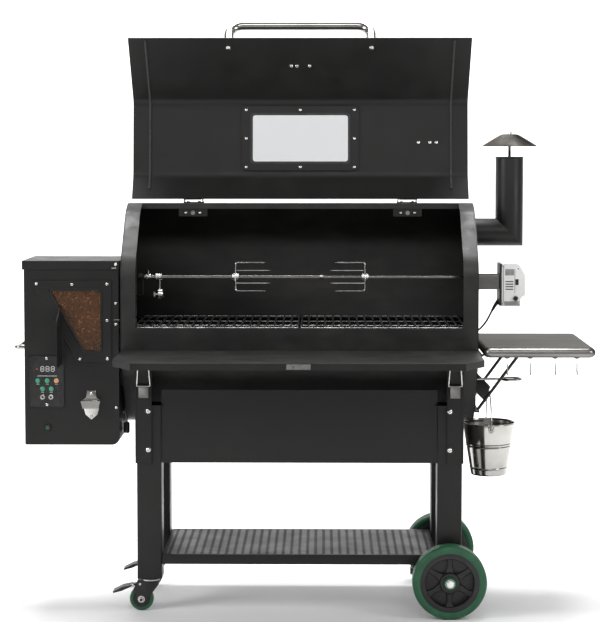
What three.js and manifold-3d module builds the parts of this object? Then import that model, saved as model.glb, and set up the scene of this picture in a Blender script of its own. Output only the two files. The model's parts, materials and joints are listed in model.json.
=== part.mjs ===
// Pellet smoker grill on a wheeled cart, in millimetres, +Z up, seen from the front along +Y.
//
// While it is being laid out, x is measured from the middle of the drum, y from the drum's front
// face towards the back, and z from the floor. The last lines move the whole grill so that its
// origin is under the middle of its bounding box, on the floor.
import * as THREE from 'three';
import { mergeVertices } from 'three/addons/utils/BufferGeometryUtils.js';
import Module from 'manifold-3d';

const wasm = await Module();
wasm.setup();

// ---------------------------------------------------------------- driving dimensions

const GAP = 0.3; // air between faces that touch
const SHEET = 3; // thickness of the drum's and the cart's sheet steel
const ARC_STEPS = 5; // straight pieces in a rounded corner

const DRUM = {
  halfWidth: 546.5,
  depth: 440,
  openingHalf: 500, // half of the width between the cheeks
  sillZ: 877, // bottom edge of the opening
  topZ: 1253,
  topFrontY: 223, // where the fixed top begins
  bellyZ: 565,
};
const GRATE = { z: 880, rod: 6, pitch: 25.6, perHalf: 20, frontY: 22, backY: 418 };
const SPIT = { y: 200, z: 1022, side: 9, from: -513, to: 640 };
const AUGER = { y: 200, z: 640, tubeR: 32, from: -700 };

const LID = {
  hingeY: 226,
  hingeZ: 1270,
  openDegrees: 140,
  halfWidth: 532,
  sheet: 2.5,
  profile: [[238, 1264, 0], [155, 1238, 50], [-12, 1071, 40], [-12, 820, 0]],
};
const LID_HINGE = { x: 339, halfStrap: 26, ear: 29, barrelR: 6, pinR: 3 };
const WINDOW = { width: 372, height: 206, glassWidth: 320, glassHeight: 165 };
const HANDLE = { halfSpan: 222, z: 855, out: 92, drop: 14, radius: 16, bend: 50 };

const LEG = {
  x: 460, side: 76, wall: 3, frontY: -10, backY: 290, bottomZ: 106, frontTopZ: 640, backTopZ: 572,
};
const CRADLE = { channelIn: 450, channelOut: 501.5, frontY: -16, bottomZ: 465, topZ: 750 };
const LOWER_SHELF = { halfWidth: 421.5, topZ: 182, lip: 30 };
const BIG_WHEEL = { x: 457, z: 113, radius: 113, width: 60, frontY: -60, backY: 416 };
const CASTER = { radius: 37, width: 24, trail: 28 };

const FRONT_SHELF = { z: 811, frontY: -336, backY: -3, half: 542.3, cornerX: 60, cornerY: 86 };
const LATCH = { x: 475, z: 704, plate: 30, drop: 37, bailTop: 756 };

const HOPPER = { left: -842, right: -552, frontY: 5, backY: 245, bottomZ: 518, topZ: 1080 };
const HOPPER_LID = { left: -847, right: -549, frontY: 0, topZ: 1084.5, lip: 27 };
const BUTTON = { x: -773, z: 571, radius: 9.5 };

const CHIMNEY = { x: 668, y: 300, z: 1159, radius: 44, topZ: 1400 };
const CAP = { rimR: 87.5, rimZ: 1435, topR: 26, height: 37 };
const SIDE_SHELF = { left: 562, right: 905, frontY: -10, backY: 449, z: 819, thick: 30 };
const BUCKET = { x: 602, y: 245, rimZ: 556, rimR: 86, bottomR: 57, height: 168, hookZ: 662 };

const CORD = {
  radius: 3,
  points: [
    [618, 200, 936], [606, 202, 915], [590, 212, 882], [573, 235, 856], [564, 270, 846],
    [560, 330, 843], [559, 400, 842], [557, 455, 836], [547, 482, 812], [520, 492, 760],
    [497, 494, 690], [486, 492, 600], [482, 490, 480], [481, 488, 340], [481, 488, 200],
    [481, 488, 90], [480, 487, 36], [476, 489, 12], [469, 492.3, 4.6], [459.6, 497.4, 3.8],
  ],
};
const COIL = { x: 449, y: 540, outerR: 40, innerR: 27, height: 13 };

// ---------------------------------------------------------------- materials

function material(color, roughness, metalness, opacity = 1) {
  const options = { color, roughness, metalness, flatShading: true };
  if (opacity < 1) Object.assign(options, { transparent: true, opacity });
  return new THREE.MeshStandardMaterial(options);
}

const COAT = [0x262624, 0.55, 0.1];
const STEEL = [0xb8b8b4, 0.25, 1];
const PLASTIC = [0x1b1b1b, 0.5, 0];
const GREEN = [0x1b5e3c, 0.5, 0];
const GLASS = [0xcfd6d6, 0.05, 0, 0.35];

// ---------------------------------------------------------------- shapes

const X = new THREE.Vector3(1, 0, 0);
const Y = new THREE.Vector3(0, 1, 0);
const Z = new THREE.Vector3(0, 0, 1);

// Turns an outline's own axes into the grill's: an x prism's outline is (y, z), a y prism's is
// (x, z) and a z prism's is (x, y).
const PRISM_AXES = {
  x: new THREE.Matrix4().makeBasis(Y, Z, X),
  y: new THREE.Matrix4().makeBasis(X, Z, Y.clone().negate()),
  z: new THREE.Matrix4(),
};

function prism(axis, outline, from, to) {
  const shape = new THREE.Shape(outline.map(([a, b]) => new THREE.Vector2(a, b)));
  const geometry = new THREE.ExtrudeGeometry(shape, { depth: to - from, bevelEnabled: false });
  geometry.applyMatrix4(PRISM_AXES[axis]);
  const start = axis === 'y' ? to : from;
  const offset = { x: X, y: Y, z: Z }[axis].clone().multiplyScalar(start);
  return geometry.translate(offset.x, offset.y, offset.z);
}

// Corners are [a, b, radius]: each corner with a radius becomes an arc between its tangent points.
function rounded(corners, closed = true) {
  const points = [];
  corners.forEach(([a, b, radius], i) => {
    const here = new THREE.Vector2(a, b);
    const isEnd = !closed && (i === 0 || i === corners.length - 1);
    if (!radius || isEnd) {
      points.push([a, b]);
      return;
    }
    const last = corners[(i + corners.length - 1) % corners.length];
    const next = corners[(i + 1) % corners.length];
    const back = new THREE.Vector2(last[0], last[1]).sub(here).normalize();
    const ahead = new THREE.Vector2(next[0], next[1]).sub(here).normalize();
    const half = Math.acos(back.dot(ahead)) / 2;
    const middle = back.clone().add(ahead).normalize();
    const centre = here.clone().addScaledVector(middle, radius / Math.sin(half));
    const first = here.clone().addScaledVector(back, radius / Math.tan(half)).sub(centre);
    const turn = Math.PI - 2 * half;
    const side = Math.sign(back.cross(ahead)) * -1;
    for (let k = 0; k <= ARC_STEPS; k += 1) {
      const spoke = first.clone().rotateAround(new THREE.Vector2(), (side * turn * k) / ARC_STEPS);
      points.push([centre.x + spoke.x, centre.y + spoke.y]);
    }
  });
  return points;
}

function rectangle(a0, a1, b0, b1, radius = 0) {
  return rounded([[a0, b0, radius], [a1, b0, radius], [a1, b1, radius], [a0, b1, radius]]);
}

function box(x0, x1, y0, y1, z0, z1) {
  const geometry = new THREE.BoxGeometry(x1 - x0, y1 - y0, z1 - z0);
  return geometry.translate((x0 + x1) / 2, (y0 + y1) / 2, (z0 + z1) / 2);
}

const TURN_TO_AXIS = { x: [0, 0, -Math.PI / 2], y: [0, 0, 0], z: [Math.PI / 2, 0, 0] };

// A solid of revolution: profile points are [radius, distance along the axis from centre].
function turned(axis, profile, centre, sides = 24) {
  const points = profile.map(([r, h]) => new THREE.Vector2(r, h));
  const geometry = new THREE.LatheGeometry(points, sides);
  const [a, b, c] = TURN_TO_AXIS[axis];
  geometry.rotateX(a);
  geometry.rotateY(b);
  geometry.rotateZ(c);
  return geometry.translate(...centre);
}

function cylinder(axis, radius, from, to, centre, sides = 16) {
  return turned(axis, [[0, from], [radius, from], [radius, to], [0, to]], centre, sides);
}

function ring(axis, outerR, innerR, from, to, centre, sides = 24) {
  const profile = [[innerR, from], [outerR, from], [outerR, to], [innerR, to], [innerR, from]];
  return turned(axis, profile, centre, sides);
}

// A path through listed points: its sections stand on the points themselves.
class Route extends THREE.Curve {
  constructor(points) {
    super();
    this.points = points.map((p) => new THREE.Vector3(...p));
  }
  getPoint(t) {
    const along = t * (this.points.length - 1);
    const i = Math.min(Math.floor(along), this.points.length - 2);
    return this.points[i].clone().lerp(this.points[i + 1], along - i);
  }
  getPointAt(u) {
    return this.getPoint(u);
  }
  getTangentAt(u) {
    const step = 0.5 / (this.points.length - 1);
    const before = this.getPoint(Math.max(0, u - step));
    const after = this.getPoint(Math.min(1, u + step));
    return after.sub(before).normalize();
  }
}

// Rounds the inner corners of a path of [x, y, z] points with arcs of about the given radius.
function bent(points, radius, steps = 3) {
  const path = [points[0]];
  for (let i = 1; i < points.length - 1; i += 1) {
    const [last, here, next] = [points[i - 1], points[i], points[i + 1]].map(
      (p) => new THREE.Vector3(...p),
    );
    const start = here.clone().addScaledVector(last.sub(here).normalize(), radius);
    const end = here.clone().addScaledVector(next.sub(here).normalize(), radius);
    const curve = new THREE.QuadraticBezierCurve3(start, here, end);
    curve.getPoints(steps).forEach((p) => path.push(p.toArray()));
  }
  path.push(points[points.length - 1]);
  return path;
}

function rod(points, radius, sides = 8) {
  const section = new THREE.Shape();
  for (let i = 0; i < sides; i += 1) {
    const angle = (2 * Math.PI * (i + 0.5)) / sides;
    const call = i === 0 ? 'moveTo' : 'lineTo';
    section[call](radius * Math.cos(angle), radius * Math.sin(angle));
  }
  const extrudePath = new Route(points);
  const steps = points.length - 1;
  return new THREE.ExtrudeGeometry(section, { steps, bevelEnabled: false, extrudePath });
}

// ---------------------------------------------------------------- booleans

function volume(geometry) {
  const p = geometry.attributes.position;
  const index = geometry.index;
  const [a, b, c] = [new THREE.Vector3(), new THREE.Vector3(), new THREE.Vector3()];
  let sum = 0;
  for (let i = 0; i < index.count; i += 3) {
    a.fromBufferAttribute(p, index.getX(i));
    b.fromBufferAttribute(p, index.getX(i + 1));
    c.fromBufferAttribute(p, index.getX(i + 2));
    sum += a.dot(b.cross(c));
  }
  return sum;
}

// Merges shared vertices and makes every face point out.
function welded(geometry) {
  const plain = geometry.clone();
  plain.deleteAttribute('normal');
  plain.deleteAttribute('uv');
  const merged = mergeVertices(plain, 1e-3);
  const faces = Array.from(merged.index.array);
  const kept = [];
  const inside = volume(merged) > 0;
  for (let i = 0; i < faces.length; i += 3) {
    const [a, b, c] = faces.slice(i, i + 3);
    if (a === b || b === c || a === c) continue;
    kept.push(a, inside ? b : c, inside ? c : b);
  }
  merged.setIndex(kept);
  return merged;
}

function toManifold(geometry) {
  const source = welded(geometry);
  const vertProperties = new Float32Array(source.attributes.position.array);
  const triVerts = new Uint32Array(source.index.array);
  return new wasm.Manifold(new wasm.Mesh({ numProp: 3, vertProperties, triVerts }));
}

function fromManifold(solid) {
  const { vertProperties, triVerts } = solid.getMesh();
  const geometry = new THREE.BufferGeometry();
  geometry.setAttribute('position', new THREE.BufferAttribute(vertProperties.slice(), 3));
  geometry.setIndex(Array.from(triVerts));
  return geometry;
}

function joined(...pieces) {
  return fromManifold(pieces.map(toManifold).reduce((sum, piece) => sum.add(piece)));
}

function cut(base, ...cutters) {
  return fromManifold(cutters.map(toManifold).reduce((rest, c) => rest.subtract(c), toManifold(base)));
}

function common(first, second) {
  return fromManifold(toManifold(first).intersect(toManifold(second)));
}

// ---------------------------------------------------------------- scene graph

const grill = new THREE.Group();
const lid = new THREE.Group();
lid.position.set(0, LID.hingeY, LID.hingeZ);
lid.rotation.x = THREE.MathUtils.degToRad(-LID.openDegrees);
grill.add(lid);

function place(name, geometry, look, parent = grill) {
  const mesh = new THREE.Mesh(welded(geometry), material(...look));
  mesh.name = name;
  parent.add(mesh);
  return mesh;
}

// Lid pieces are drawn where they are when the lid is shut, then hung on the hinge's group.
function placeOnLid(name, geometry, look) {
  place(name, geometry.translate(0, -LID.hingeY, -LID.hingeZ), look, lid);
}

// ---------------------------------------------------------------- drum

// The drum's end outline, counted from its front corner round over the top to the belly.
function drumOutline(inset) {
  const { depth, topZ, bellyZ } = DRUM;
  const k = inset * 0.42; // how far a 45 degree corner moves in for each unit of inset
  return rounded([
    [inset, 1072 - k, 100 - inset],
    [157 + k, 1229 - inset, 60 - inset],
    [223, topZ - inset, 0],
    [320 - k, topZ - inset, 60 - inset],
    [depth - inset, 1133 - k, 80 - inset],
    [depth - inset, 775 + k, 60 - inset],
    [275 - k, bellyZ + inset, 90 - inset],
    [165 + k, bellyZ + inset, 90 - inset],
    [inset, 775 + k, 60 - inset],
  ]);
}

function drumWrap() {
  const half = DRUM.halfWidth - SHEET - GAP;
  const { openingHalf, sillZ, topFrontY, topZ, depth } = DRUM;
  const shell = cut(
    prism('x', drumOutline(0), -half, half),
    prism('x', drumOutline(SHEET), -half - 1, half + 1),
    box(-openingHalf, openingHalf, -60, topFrontY, sillZ, topZ + 60),
  );
  const topFlange = box(-openingHalf - 1, openingHalf + 1, topFrontY, topFrontY + SHEET, 1236, topZ);
  const sillFlange = box(-openingHalf - 1, openingHalf + 1, 1, 13, sillZ - SHEET, sillZ);
  const ledgeZ = GRATE.z - GRATE.rod - GAP;
  const frontLedge = box(-half, half, 1.5, 30, ledgeZ - SHEET, ledgeZ);
  const backLedge = box(-half, half, 410, depth - 1.5, ledgeZ - SHEET, ledgeZ);
  return joined(shell, topFlange, sillFlange, frontLedge, backLedge);
}

function spitRest() {
  const { y, z } = SPIT;
  const plateX = -DRUM.halfWidth + 1;
  const wire = rod(bent([[plateX, y, 963], [-498, y, 963], [-498, y, z - 10]], 8), 3, 6);
  const cradle = cut(
    box(-501, -495, y - 11, y + 11, z - 12, z + 4),
    box(-503, -493, y - 7.5, y + 7.5, z - 8, z + 10),
  );
  return joined(wire, cradle);
}

function endPlate(side) {
  const outer = side * DRUM.halfWidth;
  const inner = side * (DRUM.halfWidth - SHEET);
  return prism('x', drumOutline(0), Math.min(outer, inner), Math.max(outer, inner));
}

function hole(radius, side, y, z, sides = 20) {
  return cylinder('x', radius, -20, 20, [side * DRUM.halfWidth, y, z], sides);
}

// The chute is a square spout that slopes down at 45 degrees from a slot in the right end plate.
function greaseChute(inset) {
  const across = inset * Math.SQRT2;
  const near = DRUM.halfWidth - (inset ? 8 : 1.5);
  const beyond = inset ? 8 : 0;
  const top = (x) => [x, 1275 - across - x];
  const bottom = (x) => [x, 1211 + across - x];
  const outline = [top(near), top(604 + beyond), bottom(585 + beyond), bottom(near)];
  return prism('y', outline, 215 + inset, 275 - inset);
}

function rightEndPlate() {
  const { y, hookZ } = BUCKET;
  const plate = cut(
    joined(endPlate(1), greaseChute(0)),
    greaseChute(SHEET),
    hole(12, 1, SPIT.y, SPIT.z),
    hole(41, 1, CHIMNEY.y, CHIMNEY.z),
    hole(6, 1, 185, 700, 12),
  );
  // The hook is a wire that leaves the chute's floor and turns up at its end.
  const hook = rod([[577, y, 636], [590, y, 640], [600, y, hookZ - 12], [610, y, hookZ - 11],
    [613, y, hookZ]], 2, 6);
  return joined(plate, hook);
}

function leftEndPlate() {
  const plate = cut(endPlate(-1), hole(AUGER.tubeR + 3, -1, AUGER.y, AUGER.z));
  return joined(plate, spitRest());
}

// Half of the cooking surface: bars from front to back between two end rails.
function grate(side) {
  const { z, rod: size, pitch, perHalf, frontY, backY } = GRATE;
  const half = (perHalf * pitch) / 2;
  const middle = side * (2 + half);
  const slots = Array.from({ length: perHalf - 1 }, (_, i) => {
    const x = middle + (i + 1 - perHalf / 2) * pitch;
    const reach = (pitch - size) / 2;
    return box(x - reach, x + reach, frontY + size, backY - size, z - size - 1, z + 1);
  });
  return cut(box(middle - half, middle + half, frontY, backY, z - size, z), ...slots);
}

function dripTray() {
  const outline = [[-538, 798], [-538, 795], [530, 752], [530, 755]];
  const floor = prism('y', outline, 45, 395);
  const lip = [[-538, 812], [-538, 795], [530, 752], [530, 769]];
  return joined(floor, prism('y', lip, 45, 48), prism('y', lip, 392, 395));
}

function heatShield() {
  const plate = joined(
    box(-230, 110, 110, 290, 700, 703),
    box(-230, 110, 110, 113, 685, 703),
    box(-230, 110, 287, 290, 685, 703),
  );
  const pull = rod([[100, 185, 700], [640, 185, 700]], 3.5, 8);
  const loop = new THREE.TorusGeometry(26, 4.5, 6, 20);
  loop.scale(1.15, 1, 1).rotateX(Math.PI / 2).translate(667, 185, 700);
  return joined(plate, pull, loop);
}

function firePot() {
  const { y, z, tubeR, from } = AUGER;
  const potX = -60;
  const tube = cylinder('x', tubeR, from, potX - 40, [0, y, z], 16);
  const tubeHollow = cylinder('x', tubeR - SHEET, from - 5, potX, [0, y, z], 16);
  const pot = cylinder('z', 54, 604, 692, [potX, y, 0], 16);
  const potHollow = cylinder('z', 51, 608, 700, [potX, y, 0], 16);
  const feedSlot = box(from + 10, -560, y - 15, y + 15, z, z + tubeR + 5);
  return cut(joined(tube, pot), tubeHollow, potHollow, feedSlot);
}

// A screw blade wound on the shaft: each section is a rectangle from the shaft out to the rim.
function augerScrew() {
  const { y, z } = AUGER;
  const [start, end, pitch, perTurn] = [-690, -130, 70, 6];
  const count = Math.round(((end - start) / pitch) * perTurn);
  const positions = [];
  const faces = [];
  for (let i = 0; i <= count; i += 1) {
    const angle = (2 * Math.PI * i) / perTurn;
    const x = start + ((end - start) * i) / count;
    [[5, 0], [26, 0], [26, 4], [5, 4]].forEach(([r, dx]) => {
      positions.push(x + dx, y + r * Math.cos(angle), z + r * Math.sin(angle));
    });
    if (i === 0) continue;
    const [a, b] = [(i - 1) * 4, i * 4];
    for (let k = 0; k < 4; k += 1) {
      const n = (k + 1) % 4;
      faces.push(a + k, b + k, b + n, a + k, b + n, a + n);
    }
  }
  const last = count * 4;
  faces.push(0, 1, 2, 0, 2, 3, last, last + 2, last + 1, last, last + 3, last + 2);
  const blade = new THREE.BufferGeometry();
  blade.setAttribute('position', new THREE.Float32BufferAttribute(positions, 3));
  blade.setIndex(faces);
  const shaft = cylinder('x', 8, -704, end + 10, [0, y, z], 10);
  return joined(shaft, blade);
}

// ---------------------------------------------------------------- lid

function lidSheet(inset) {
  const outer = rounded(LID.profile, false);
  const inner = outer.map(([y, z], i) => {
    const before = outer[Math.max(0, i - 1)];
    const after = outer[Math.min(outer.length - 1, i + 1)];
    const along = new THREE.Vector2(after[0] - before[0], after[1] - before[1]).normalize();
    return [y - along.y * inset, z + along.x * inset];
  });
  return prism('x', [...outer, ...inner.reverse()], -LID.halfWidth, LID.halfWidth);
}

// The window lies in the lid's slanted middle panel: u runs along x, v up the slope, w outwards.
const SLOPE = Math.SQRT1_2;
const WINDOW_PLACE = new THREE.Matrix4().makeBasis(
  X,
  new THREE.Vector3(0, SLOPE, SLOPE),
  new THREE.Vector3(0, -SLOPE, SLOPE),
);
const [, FOLD_TOP, FOLD_BOTTOM] = LID.profile;
WINDOW_PLACE.setPosition(0, (FOLD_TOP[0] + FOLD_BOTTOM[0]) / 2, (FOLD_TOP[1] + FOLD_BOTTOM[1]) / 2);

function windowPanel(width, height, radius, from, to) {
  const outline = rectangle(-width / 2, width / 2, -height / 2, height / 2, radius);
  return prism('z', outline, from, to).applyMatrix4(WINDOW_PLACE);
}

function hingeStrap(side) {
  const { x, halfStrap, barrelR, pinR } = LID_HINGE;
  const { hingeY, hingeZ, profile } = LID;
  const along = new THREE.Vector2(profile[1][0] - profile[0][0], profile[1][1] - profile[0][1]);
  along.normalize();
  const normal = new THREE.Vector2(along.y, -along.x).negate();
  const at = (s, h) => [
    profile[0][0] + along.x * s + normal.x * -h, profile[0][1] + along.y * s + normal.y * -h,
  ];
  const [from, to] = [side * x - halfStrap, side * x + halfStrap];
  const plate = prism('x', [at(1, -1), at(48, -1), at(48, 3), at(1, 3)], from, to);
  const web = prism('x', [at(2, 0), at(20, 0), at(14, 9), at(8, 9)], from, to);
  const barrel = cylinder('x', barrelR, from, to, [0, hingeY, hingeZ], 12);
  const bore = cylinder('x', pinR + GAP, from - 1, to + 1, [0, hingeY, hingeZ], 12);
  return { solid: joined(plate, web, barrel), bore };
}

function lidShell() {
  const straps = [-1, 1].map(hingeStrap);
  const opening = windowPanel(WINDOW.glassWidth - 8, WINDOW.glassHeight - 8, 8, -20, 20);
  const sheet = joined(lidSheet(LID.sheet), ...straps.map((s) => s.solid));
  return cut(sheet, opening, ...straps.map((s) => s.bore));
}

function windowFrame() {
  const behind = -LID.sheet - GAP;
  const depth = 6.6;
  const { width, height, glassWidth, glassHeight } = WINDOW;
  return cut(
    windowPanel(width, height, 14, behind - depth, behind),
    windowPanel(glassWidth + 1, glassHeight + 1, 0, behind - 4.6, behind + 5),
    windowPanel(302, 147, 8, behind - 20, behind + 20),
  );
}

function lidHandle() {
  const { halfSpan, z, out, drop, radius, bend } = HANDLE;
  const face = LID.profile[3][0] - GAP;
  const grip = [face - out, z - drop];
  const path = bent([
    [-halfSpan, face, z], [-halfSpan, ...grip], [halfSpan, ...grip], [halfSpan, face, z],
  ], bend, 4);
  const boss = (side) => cylinder('y', radius + 3, face - 6, face, [side * halfSpan, 0, z], 16);
  const shaved = cut(rod(path, radius, 12), box(-300, 300, face, face + 30, 700, 900));
  return joined(shaved, boss(-1), boss(1));
}

function hingeBracket(side) {
  const { x, ear, pinR } = LID_HINGE;
  const { hingeY, hingeZ } = LID;
  const base = DRUM.topZ + GAP;
  const middle = side * x;
  const foot = box(middle - ear - 3, middle + ear + 3, 246, 275, base, base + SHEET);
  const outline = [
    [246, base], [275, base], [275, base + 4], [240, 1276], [226, 1275.5], [221, 1270],
    [226, 1264.5], [240.5, 1266], [246, 1262],
  ];
  const earAt = (s) => {
    const inner = middle + s * (ear - 1.5);
    const outer = middle + s * (ear + 1.5);
    return prism('x', outline, Math.min(inner, outer), Math.max(inner, outer));
  };
  const pin = cylinder('x', pinR, middle - ear, middle + ear, [0, hingeY, hingeZ], 12);
  return joined(foot, earAt(-1), earAt(1), pin);
}

// ---------------------------------------------------------------- cart

function leg(xSide, y, bottomZ, topZ) {
  const { x, side, wall } = LEG;
  const centre = xSide * x;
  const half = side / 2;
  const outer = prism('z', rectangle(centre - half, centre + half, y, y + side, 5), bottomZ, topZ);
  const inside = half - wall;
  const hollow = box(centre - inside, centre + inside, y + wall, y + side - wall, 0, topZ + 5);
  if (xSide < 0) return cut(outer, hollow);
  const axle = cylinder('y', 8, y - 5, y + side + 5, [BIG_WHEEL.x, 0, BIG_WHEEL.z], 12);
  return cut(outer, hollow, axle);
}

// Each side of the cradle is a sheet whose top edge follows the drum's belly, 1.5 mm clear of it.
function cradleSide(side) {
  const { frontY, bottomZ, topZ, channelOut } = CRADLE;
  const backY = 372;
  const face = LEG.x + LEG.side / 2 + GAP;
  const slab = prism(
    'x', [[frontY, bottomZ], [backY, bottomZ], [backY, 690], [200, topZ], [frontY, topZ]],
    Math.min(side * face, side * channelOut), Math.max(side * face, side * channelOut),
  );
  return cut(slab, prism('x', drumOutline(-1.5), -600, 600));
}

function channel(side, y0, y1, topZ) {
  const { channelIn, channelOut, bottomZ } = CRADLE;
  const [x0, x1] = [side * channelIn, side * channelOut].sort((a, b) => a - b);
  return box(x0, x1, y0, y1, bottomZ, topZ);
}

function legCap(side, y0, y1, topZ) {
  const [x0, x1] = [side * 415, side * CRADLE.channelOut].sort((a, b) => a - b);
  return box(x0, x1, y0, y1, topZ + GAP, topZ + GAP + SHEET);
}

function drumCradle() {
  const { frontY, bottomZ, topZ } = CRADLE;
  const inside = LEG.x - LEG.side / 2 - GAP;
  const pieces = [
    box(-inside, inside, -4, -1, bottomZ, 690),
    box(-inside, inside, 358, 361, bottomZ, 680),
  ];
  [-1, 1].forEach((side) => {
    pieces.push(cradleSide(side));
    pieces.push(channel(side, frontY, LEG.frontY - GAP, topZ));
    pieces.push(channel(side, LEG.backY + LEG.side + GAP, 372, 685));
    pieces.push(legCap(side, frontY, 66, LEG.frontTopZ));
    pieces.push(legCap(side, 290, 372, LEG.backTopZ));
  });
  return cut(joined(...pieces), prism('x', drumOutline(-1.5), -600, 600));
}

function bottomShelf() {
  const { halfWidth, topZ, lip } = LOWER_SHELF;
  const [y0, y1] = [LEG.frontY, LEG.backY + LEG.side];
  return cut(
    box(-halfWidth, halfWidth, y0, y1, topZ - lip, topZ),
    box(-halfWidth + 3, halfWidth - 3, y0 + 3, y1 - 3, topZ - lip - 1, topZ - 3),
  );
}

// A caster's wheel stands behind its swivel stem by the trail, here towards -x.
function casterFork(y) {
  const { trail, width } = CASTER;
  const stemX = -LEG.x;
  const cheek = [[stemX + 26, 92], [stemX + 26, 84], [stemX - trail + 14, 30],
    [stemX - trail - 12, 30], [stemX - trail - 24, 70], [stemX - trail - 12, 92]];
  const inner = width / 2 + 2;
  const fork = joined(
    prism('y', cheek, y - inner - 3, y - inner),
    prism('y', cheek, y + inner, y + inner + 3),
    box(stemX - trail - 12, stemX + 26, y - inner - 3, y + inner + 3, 89, 96),
    cylinder('z', 24, 95, 102, [stemX, y, 0], 16),
    cylinder('z', 8, 100, 150, [stemX, y, 0], 12),
  );
  const axle = cylinder('y', 4, -30, 30, [stemX - trail, y, CASTER.radius], 10);
  return joined(fork, axle);
}

function casterWheel(y) {
  const { radius, width, trail } = CASTER;
  const half = width / 2;
  const profile = [[4.3, -half], [radius - 4, -half], [radius, -half + 4], [radius, half - 4],
    [radius - 4, half], [4.3, half], [4.3, -half]];
  return turned('y', profile, [-LEG.x - trail, y, radius], 20);
}

// The pedal reaches over the wheel towards -x and is pinned between the fork's cheeks.
function brakePedal(y) {
  const x = -LEG.x - CASTER.trail;
  const side = [[x - 8, 87], [x - 58, 76], [x - 88, 61], [x - 86, 57], [x - 60, 64],
    [x - 30, 77], [x - 8, 79]];
  const narrow = prism('y', side, y - 10, y + 10);
  const wide = prism('y', [[x - 28, 82], [x - 58, 76], [x - 88, 61], [x - 86, 57], [x - 60, 64],
    [x - 30, 77.5]], y - 22, y + 22);
  return joined(narrow, wide);
}

function bigWheel(y) {
  const { x, z, radius, width } = BIG_WHEEL;
  const half = width / 2;
  const tyre = [[74, -half + 2], [96, -half], [108, -half + 4], [radius, -half + 14],
    [radius, half - 14], [108, half - 4], [96, half], [74, half - 2], [74, -half + 2]];
  const rim = turned('y', tyre, [0, 0, 0], 28);
  const boss = cylinder('y', 30, -half + 3, half - 3, [0, 0, 0], 20);
  const spokes = Array.from({ length: 6 }, (_, i) => {
    const spoke = box(10, 78, -9, 9, -9, 9);
    return spoke.rotateY((-i * Math.PI) / 3);
  });
  const bore = cylinder('y', 8, -half - 5, half + 5, [0, 0, 0], 12);
  const web = cylinder('y', 76, -4, 4, [0, 0, 0], 28);
  const wheel = cut(joined(rim, boss, web, ...spokes), bore);
  return wheel.translate(x, y, z);
}

function wheelAxle() {
  const { x, z, frontY, backY, width } = BIG_WHEEL;
  const [front, back] = [frontY - width / 2, backY + width / 2];
  const at = [x, 0, z];
  return joined(
    cylinder('y', 7.7, front - 3, back + 3, at, 12),
    cylinder('y', 14, front - 8, front - 2, at, 12),
    cylinder('y', 14, back + 2, back + 8, at, 12),
  );
}

// ---------------------------------------------------------------- front shelf and latches

function shelfOutline(inset) {
  const { frontY, backY, half, cornerX, cornerY } = FRONT_SHELF;
  const k = inset * 0.55; // the chamfered corners move in a little less than the edges do
  return [
    [-half + inset, backY - inset], [-half + inset, frontY + cornerY + k],
    [-half + cornerX + k, frontY + inset], [half - cornerX - k, frontY + inset],
    [half - inset, frontY + cornerY + k], [half - inset, backY - inset],
  ];
}

function frontShelf() {
  const { z, frontY } = FRONT_SHELF;
  const tray = cut(
    prism('z', shelfOutline(0), z - 20, z),
    prism('z', shelfOutline(SHEET), z - 25, z - SHEET),
  );
  const pieces = [tray];
  const face = CRADLE.frontY - GAP;
  [-1, 1].forEach((side) => {
    const middle = side * LATCH.x;
    const gusset = [[face, z - 1], [face, 735], [face - 3, 735], [face - 3, 762], [-290, z - 16],
      [frontY + 20, z - 16], [frontY + 20, z - 1]];
    pieces.push(prism('x', gusset, middle - 18, middle - 15));
    pieces.push(prism('x', gusset, middle + 15, middle + 18));
    pieces.push(box(middle - 18, middle + 18, face - 3, face, 735, z - 1));
    pieces.push(box(middle - 8, middle + 8, face - 8, face - 2, 750, 756));
  });
  return joined(...pieces);
}

const LATCH_FACE = CRADLE.frontY - GAP;
const LATCH_PIN_Y = LATCH_FACE - 7;

// The lever hangs on a pin that stands on a small base, and lies along the channel when shut.
function latchLever(side) {
  const { x, z, plate, drop } = LATCH;
  const middle = side * x;
  const half = plate / 2;
  return cut(
    joined(
      box(middle - half, middle + half, LATCH_FACE - 6, LATCH_FACE - 1, z - drop, z - 4),
      cylinder('x', 4.5, middle - half, middle + half, [0, LATCH_PIN_Y, z], 10),
    ),
    box(middle - half + 3, middle + half - 3, LATCH_FACE - 4, LATCH_FACE, z - drop - 1, z - 6),
    cylinder('x', 2.3, middle - 30, middle + 30, [0, LATCH_PIN_Y, z], 10),
  );
}

// The bail is one bent wire: its cross wire is the lever's pin, and its legs rise to a loop that
// stands just in front of the shelf's catch.
function latchBail(side) {
  const { x, z, bailTop } = LATCH;
  const middle = side * x;
  const y = LATCH_PIN_Y;
  const top = LATCH_FACE - 11;
  const legs = rod(bent([[middle - 20, y, z], [middle - 20, y, z + 6], [middle - 17, top, bailTop],
    [middle + 17, top, bailTop], [middle + 20, y, z + 6], [middle + 20, y, z]], 4, 2), 2, 6);
  return joined(legs, rod([[middle - 21, y, z], [middle + 21, y, z]], 2, 8));
}

// ---------------------------------------------------------------- hopper

const HOPPER_WINDOW = {
  outer: [[-819, 1024], [-573, 1025], [-573, 769], [-678, 769]],
  inner: [[-766, 996], [-604, 996], [-604, 806], [-659, 806]],
  glass: [[-782, 1004], [-596, 1004], [-596, 798], [-663, 798]],
  pane: [[-781, 1003], [-597, 1003], [-597, 799], [-662, 799]],
};

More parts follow.
